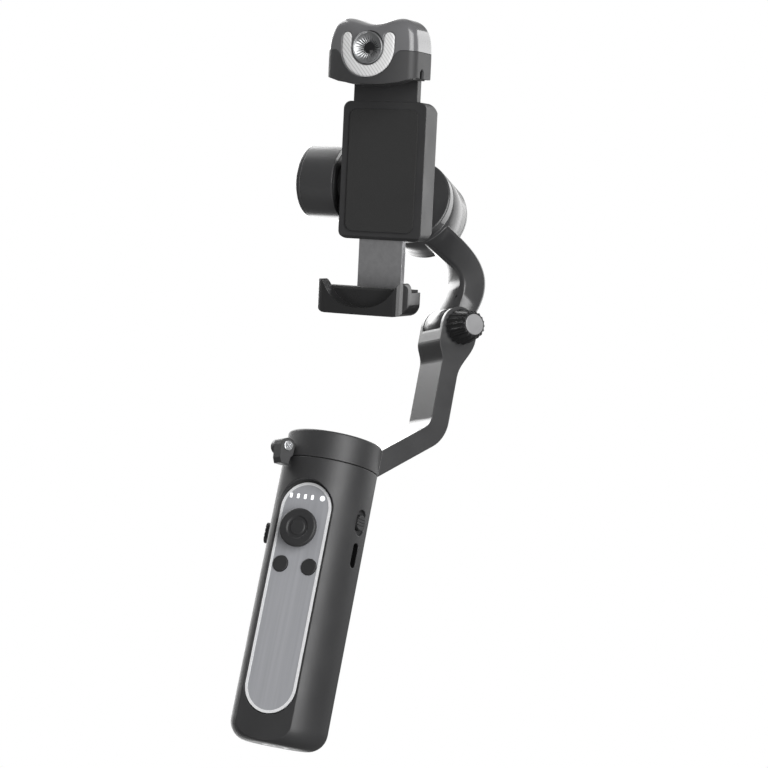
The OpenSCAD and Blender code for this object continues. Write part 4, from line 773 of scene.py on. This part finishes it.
def makeLens():
    # A cone on a polar grid: the radius falls from the rim to the pupil, the depth grows as t^bend, and a
    # cosine of the angle gives ribs that deepen inwards. Spikes of painted shade stand where the cosine is
    # high, in the ribs' deepest parts, narrower the further out. The glass is a disc with a parabola's crown.
    v = lensValues
    up = trackerValues["lensUp"]
    angle = np.linspace(0, 2 * np.pi, v["around"], endpoint=False)[:, None]
    t = np.linspace(0, 1, v["inward"])[None, :]
    inner = v["radius"] - v["rim"]
    ribs = np.cos(v["ribs"] * angle)
    rim = np.array([[v["radius"], v["back"]], [v["radius"], v["bevel"]], [v["radius"] - v["bevel"], 0.0],
                    [inner + v["bevel"], 0.0], [inner, v["lip"]]])
    rimRadius, rimDeep = (np.broadcast_to(rim[:, k], (v["around"], len(rim))) for k in range(2))
    coneRadius = np.broadcast_to(inner + (v["pupil"] - inner) * t, (v["around"], v["inward"]))
    coneDeep = v["lip"] + (v["depth"] - v["lip"]) * t ** v["bend"] + v["ribDepth"] * t * ribs
    radius = np.concatenate([rimRadius, coneRadius], 1)
    deep = np.concatenate([rimDeep, coneDeep], 1)
    ring = toClamp(np.stack([radius * np.cos(angle), v["front"] + deep, up + radius * np.sin(angle)], -1))
    first, second = v["spikeWaves"]
    change = np.sin(first * angle + v["spikeTurn"]) * np.cos(second * angle)
    length = v["spike"] * (v["spikeMean"] + v["spikeChange"] * change)
    least, grow = v["spikeEdge"]
    edge = least + grow * (radius - v["pupil"]) / np.maximum(length, v["spikeLeast"])
    # Painted shade: spikes where the ribs lie deepest, near the pupil
    dark = (radius < v["pupil"] + length) & (ribs > edge)
    disc = np.linspace(1, 0, v["glassRings"])[None, :] * (v["pupil"] + v["glassOver"])
    crown = np.broadcast_to(v["crown"] * (1 - (disc / v["pupil"]) ** 2), (v["around"], v["glassRings"]))
    glassY = v["front"] + v["depth"] - crown
    glass = toClamp(np.stack([disc * np.cos(angle), glassY, up + disc * np.sin(angle)], -1))
    behind = toClamp((0, v["front"] + v["behind"], up))
    makeSurface("lensCone", [(ring, True, dark[:, :-1].reshape(-1).astype(int), behind)],
                [lensSatin, paintedHoleShade], "clamp", ["lens_ring"])
    makeSurface("lensPupil", [(glass, True, 0, behind)], [darkGlass], "clamp", ["lens_glass"])


# Upper arm: a bar with round corners from the hinge to the roll motor's housing

upperValues = {
    # Knuckle on the hinge; out is the level way from the handle's middle to the hinge
    "hinge": (22.8283, 32.6023, 168.0), "out": (0.573576, 0.819152, 0.0), "knuckle": 8.0, "pin": 2.1,
    "chamfer": 0.35,
    # Course of the bar, in degrees and millimetres
    "lean": 16.0, "turn": 55.0, "start": 2.3, "straight": 12.5, "pull": 13.0,
    "end": (6.92252, 37.0, 208.651), "endPull": (11.1801, 0.0, -8.4254),
    # Section: from the neck's width to the bar's own over these distances from the hinge, then thinner
    "neck": 11.2, "wide": 13.0, "thick": 11.8, "thin": 11.4, "round": 1.9, "swell": (9.0, 24.0),
    "thinning": (0.1, 0.75),
    # Housing of the roll motor
    "houseR": 16.5, "boreR": 13.95, "houseFront": 28.8, "houseBack": 44.4, "floor": (37.2, 38.8),
    "axisZ": 217.2, "houseEdge": 0.3, "shaftR": 3.0, "sink": 0.2,
    # Small hole in the inner face: a flat disc of painted shade
    "holeUp": 10.8, "holeIn": 1.5, "holeR": (0.55, 0.45, 0.0), "holeProud": 0.02,
    # Grid sizes, and points far ahead and far behind for the housing's inner faces
    "straightSteps": 40, "curveSteps": 120, "cornerSteps": 9, "houseSteps": 160, "holeSteps": 32,
    "farAhead": -60.0, "farBehind": 160.0,
}


def armAxes():
    # The hinge's middle, the way in which the arm leans from it, and the axis of hinge and knob.
    v = upperValues
    out = np.array(v["out"])
    lean = math.radians(v["lean"])
    way = math.sin(lean) * out + math.cos(lean) * np.array([0, 0, 1.0])
    return np.array(v["hinge"]), way, np.array([out[1], -out[0], 0])


def roundedSquare(steps):
    # Signs and unit directions of the points round a square with round corners, counter-clockwise.
    angle = np.linspace(0, np.pi / 2, steps)[None, :] + np.arange(4)[:, None] * np.pi / 2
    signs = np.repeat([(1, 1), (-1, 1), (-1, -1), (1, -1)], steps, 0)
    return signs, np.stack([np.cos(angle), np.sin(angle)], -1).reshape(-1, 2)


def barCourse():
    # The middle line: straight from the hinge, then the cubic with points a, b, c, d. The section's frame
    # turns about it from the hinge's axis to the motor's as (1 - u)^2 (1 + 2u).
    v = upperValues
    hinge, way, _ = armAxes()
    a = hinge + v["straight"] * way
    d = np.array(v["end"])
    b, c = a + v["pull"] * way, d + np.array(v["endPull"])
    u = np.linspace(0, 1, v["curveSteps"])[:, None]
    curve = (1 - u) ** 3 * a + 3 * u * (1 - u) ** 2 * b + 3 * u * u * (1 - u) * c + u ** 3 * d
    straight = hinge + np.linspace(v["start"], v["straight"], v["straightSteps"])[:-1, None] * way
    line = np.concatenate([straight, curve])
    share = np.concatenate([np.zeros(len(straight)), u[:, 0]])
    ways = unit(np.gradient(line, axis=0))
    turn = np.radians(v["turn"] * (1 - share) ** 2 * (1 + 2 * share))
    through = unit(np.cross(ways, np.stack([-np.sin(turn), np.cos(turn), np.zeros(len(turn))], -1)))
    return line, share, np.cross(through, ways), through


def makeBar(line, share, across, through):
    # The section's points, line + across * p + through * q, where p and q run round a rounded box. Points
    # inside the motor's bore are pushed out to it, and those past the housing's ends are brought back.
    v = upperValues
    signs, corner = roundedSquare(v["cornerSteps"])
    swell = smoothStep(np.linalg.norm(line - np.array(v["hinge"]), axis=1), *v["swell"])
    wide = v["neck"] + (v["wide"] - v["neck"]) * swell
    thick = (v["neck"] + (v["thick"] - v["neck"]) * swell
             + (v["thin"] - v["thick"]) * smoothStep(share, *v["thinning"]))
    p = signs[:, 0] * (wide[:, None] / 2 - v["round"]) + v["round"] * corner[:, 0]
    q = signs[:, 1] * (thick[:, None] / 2 - v["round"]) + v["round"] * corner[:, 1]
    bar = line[:, None, :] + across[:, None, :] * p[..., None] + through[:, None, :] * q[..., None]
    radius = np.hypot(bar[..., 0], bar[..., 2] - v["axisZ"])
    push = np.maximum(radius, v["boreR"] + v["sink"]) / radius
    y = np.clip(bar[..., 1], v["houseFront"] + v["houseEdge"], v["houseBack"] - v["houseEdge"])
    bar = np.stack([bar[..., 0] * push, y, v["axisZ"] + (bar[..., 2] - v["axisZ"]) * push], -1)
    return np.moveaxis(bar, 0, 1)


def makeUpperArm():
    # The bar, the knuckle turned about the hinge's axis, the housing turned about the roll axis with a bore
    # on each side of its floor, and a small flat disc of painted shade as the hole in the inner face.
    v = upperValues
    hinge, way, axis = armAxes()
    course = barCourse()
    bar = makeBar(*course)
    across, through = course[2][0], course[3][0]
    half, chamfer, r = v["neck"] / 2, v["chamfer"], v["knuckle"]
    knuckle = revolve([(v["pin"], -half), (r - chamfer, -half), (r, -half + chamfer), (r, half - chamfer),
                       (r - chamfer, half), (v["pin"], half)], hinge, axis)

    def housing(profile):
        # A profile of (radius, y) turned about the roll axis.
        return revolve(profile, (0, 0, v["axisZ"]), (0, 1, 0), v["houseSteps"])

    low, high = v["floor"]
    front, back, bore, r, edge = v["houseFront"], v["houseBack"], v["boreR"], v["houseR"], v["houseEdge"]
    outside = housing([(bore, front), (r - edge, front), (r, front + edge), (r, back - edge),
                       (r - edge, back), (bore, back)])
    frontBore = housing([(bore, front), (bore, low), (v["shaftR"], low)])
    backBore = housing([(v["shaftR"], high), (bore, high), (bore, back)])
    foot = hinge + v["holeUp"] * way
    spot = foot - across * (v["wide"] / 2 - v["holeIn"]) + through * (v["thick"] / 2 + v["holeProud"])
    hole = revolve([(radius, 0.0) for radius in v["holeR"]], spot, through, v["holeSteps"])
    makeSurface("upperBar", [
        (bar, True, 0, bar.reshape(-1, 3).mean(0)), (knuckle, True, 0, hinge),
        (outside, True, 0, (0, (front + back) / 2, v["axisZ"])),
        (frontBore, True, 0, (0, v["farAhead"], v["axisZ"])),
        (backBore, True, 0, (0, v["farBehind"], v["axisZ"])),
        (hole, True, 1, foot)], [armPaint, paintedHoleShade], "upper", ["upper_arm"])


# Locking knob: a fluted cone

knobValues = {
    "hub": 7.8, "length": 9.1, "back": 7.0, "front": 5.35, "tip": 4.4, "pin": 2.1, "disc": 4.03, "seat": 0.8,
    # Rings of the cone from its base, and how much the first two are drawn in
    "rings": (0, 0.25, 0.6), "drawIn": (0.5, 0.15, 0.0), "coneFrom": 1.2, "coneTo": 0.9, "coneRings": 24,
    "taperEnd": 0.75, "noseIn": 0.25, "noseBack": 0.45, "tipBack": 0.1, "tipOut": (0.35, 0.1),
    "discEdge": 0.08,
    # Flutes, grid size, and points within the cone and far behind it
    "flutes": 18, "deep": 0.62, "power": 0.7, "fade": (-0.2, 1.0), "around": 540, "insideAt": 4.0,
    "farBack": -16.0,
}


def flute(angle, radius):
    # deep * (0.5 + 0.5 cos(flutes * angle))^power, faded out towards the tip.
    v = knobValues
    low, high = v["fade"]
    groove = v["deep"] * (0.5 + 0.5 * np.cos(v["flutes"] * angle)) ** v["power"]
    return np.where(radius > v["tip"], groove * smoothStep(radius, v["tip"] + low, v["tip"] + high), 0)


def makeKnob():
    # A cone turned about the hinge's axis, its radius less the flutes, with a recess for the end disc.
    v = knobValues
    hinge, _, axis = armAxes()
    place = hinge + axis * v["hub"]
    end, tip = v["length"], v["tip"]
    nose, last = (tip + out for out in v["tipOut"])
    z = np.concatenate([v["rings"], np.linspace(v["coneFrom"], end - v["coneTo"], v["coneRings"])])
    cone = v["back"] + (v["front"] - v["back"]) * z / (end - v["taperEnd"])
    cone[:len(v["drawIn"])] -= v["drawIn"]
    skin = revolve([(v["pin"], 0.0), *zip(cone, z), (v["front"] - v["noseIn"], end - v["noseBack"]),
                    (nose, end - v["tipBack"]), (last, end)], place, axis, v["around"], flute)
    rim = revolve([(last, end), (v["disc"] + v["discEdge"], end), (v["disc"], end - v["tipBack"]),
                   (v["disc"], end - v["seat"])], place, axis, v["around"], flute)
    makeSurface("flutedKnob", [
        (skin, True, 0, place + axis * v["insideAt"]), (rim, True, 0, place + axis * v["farBack"])],
        [knobBlack], "knob", ["lock_knob"])


makeTracker()
makeLens()
print("tracking module")
makeUpperArm()
makeKnob()
print("arm and knob")
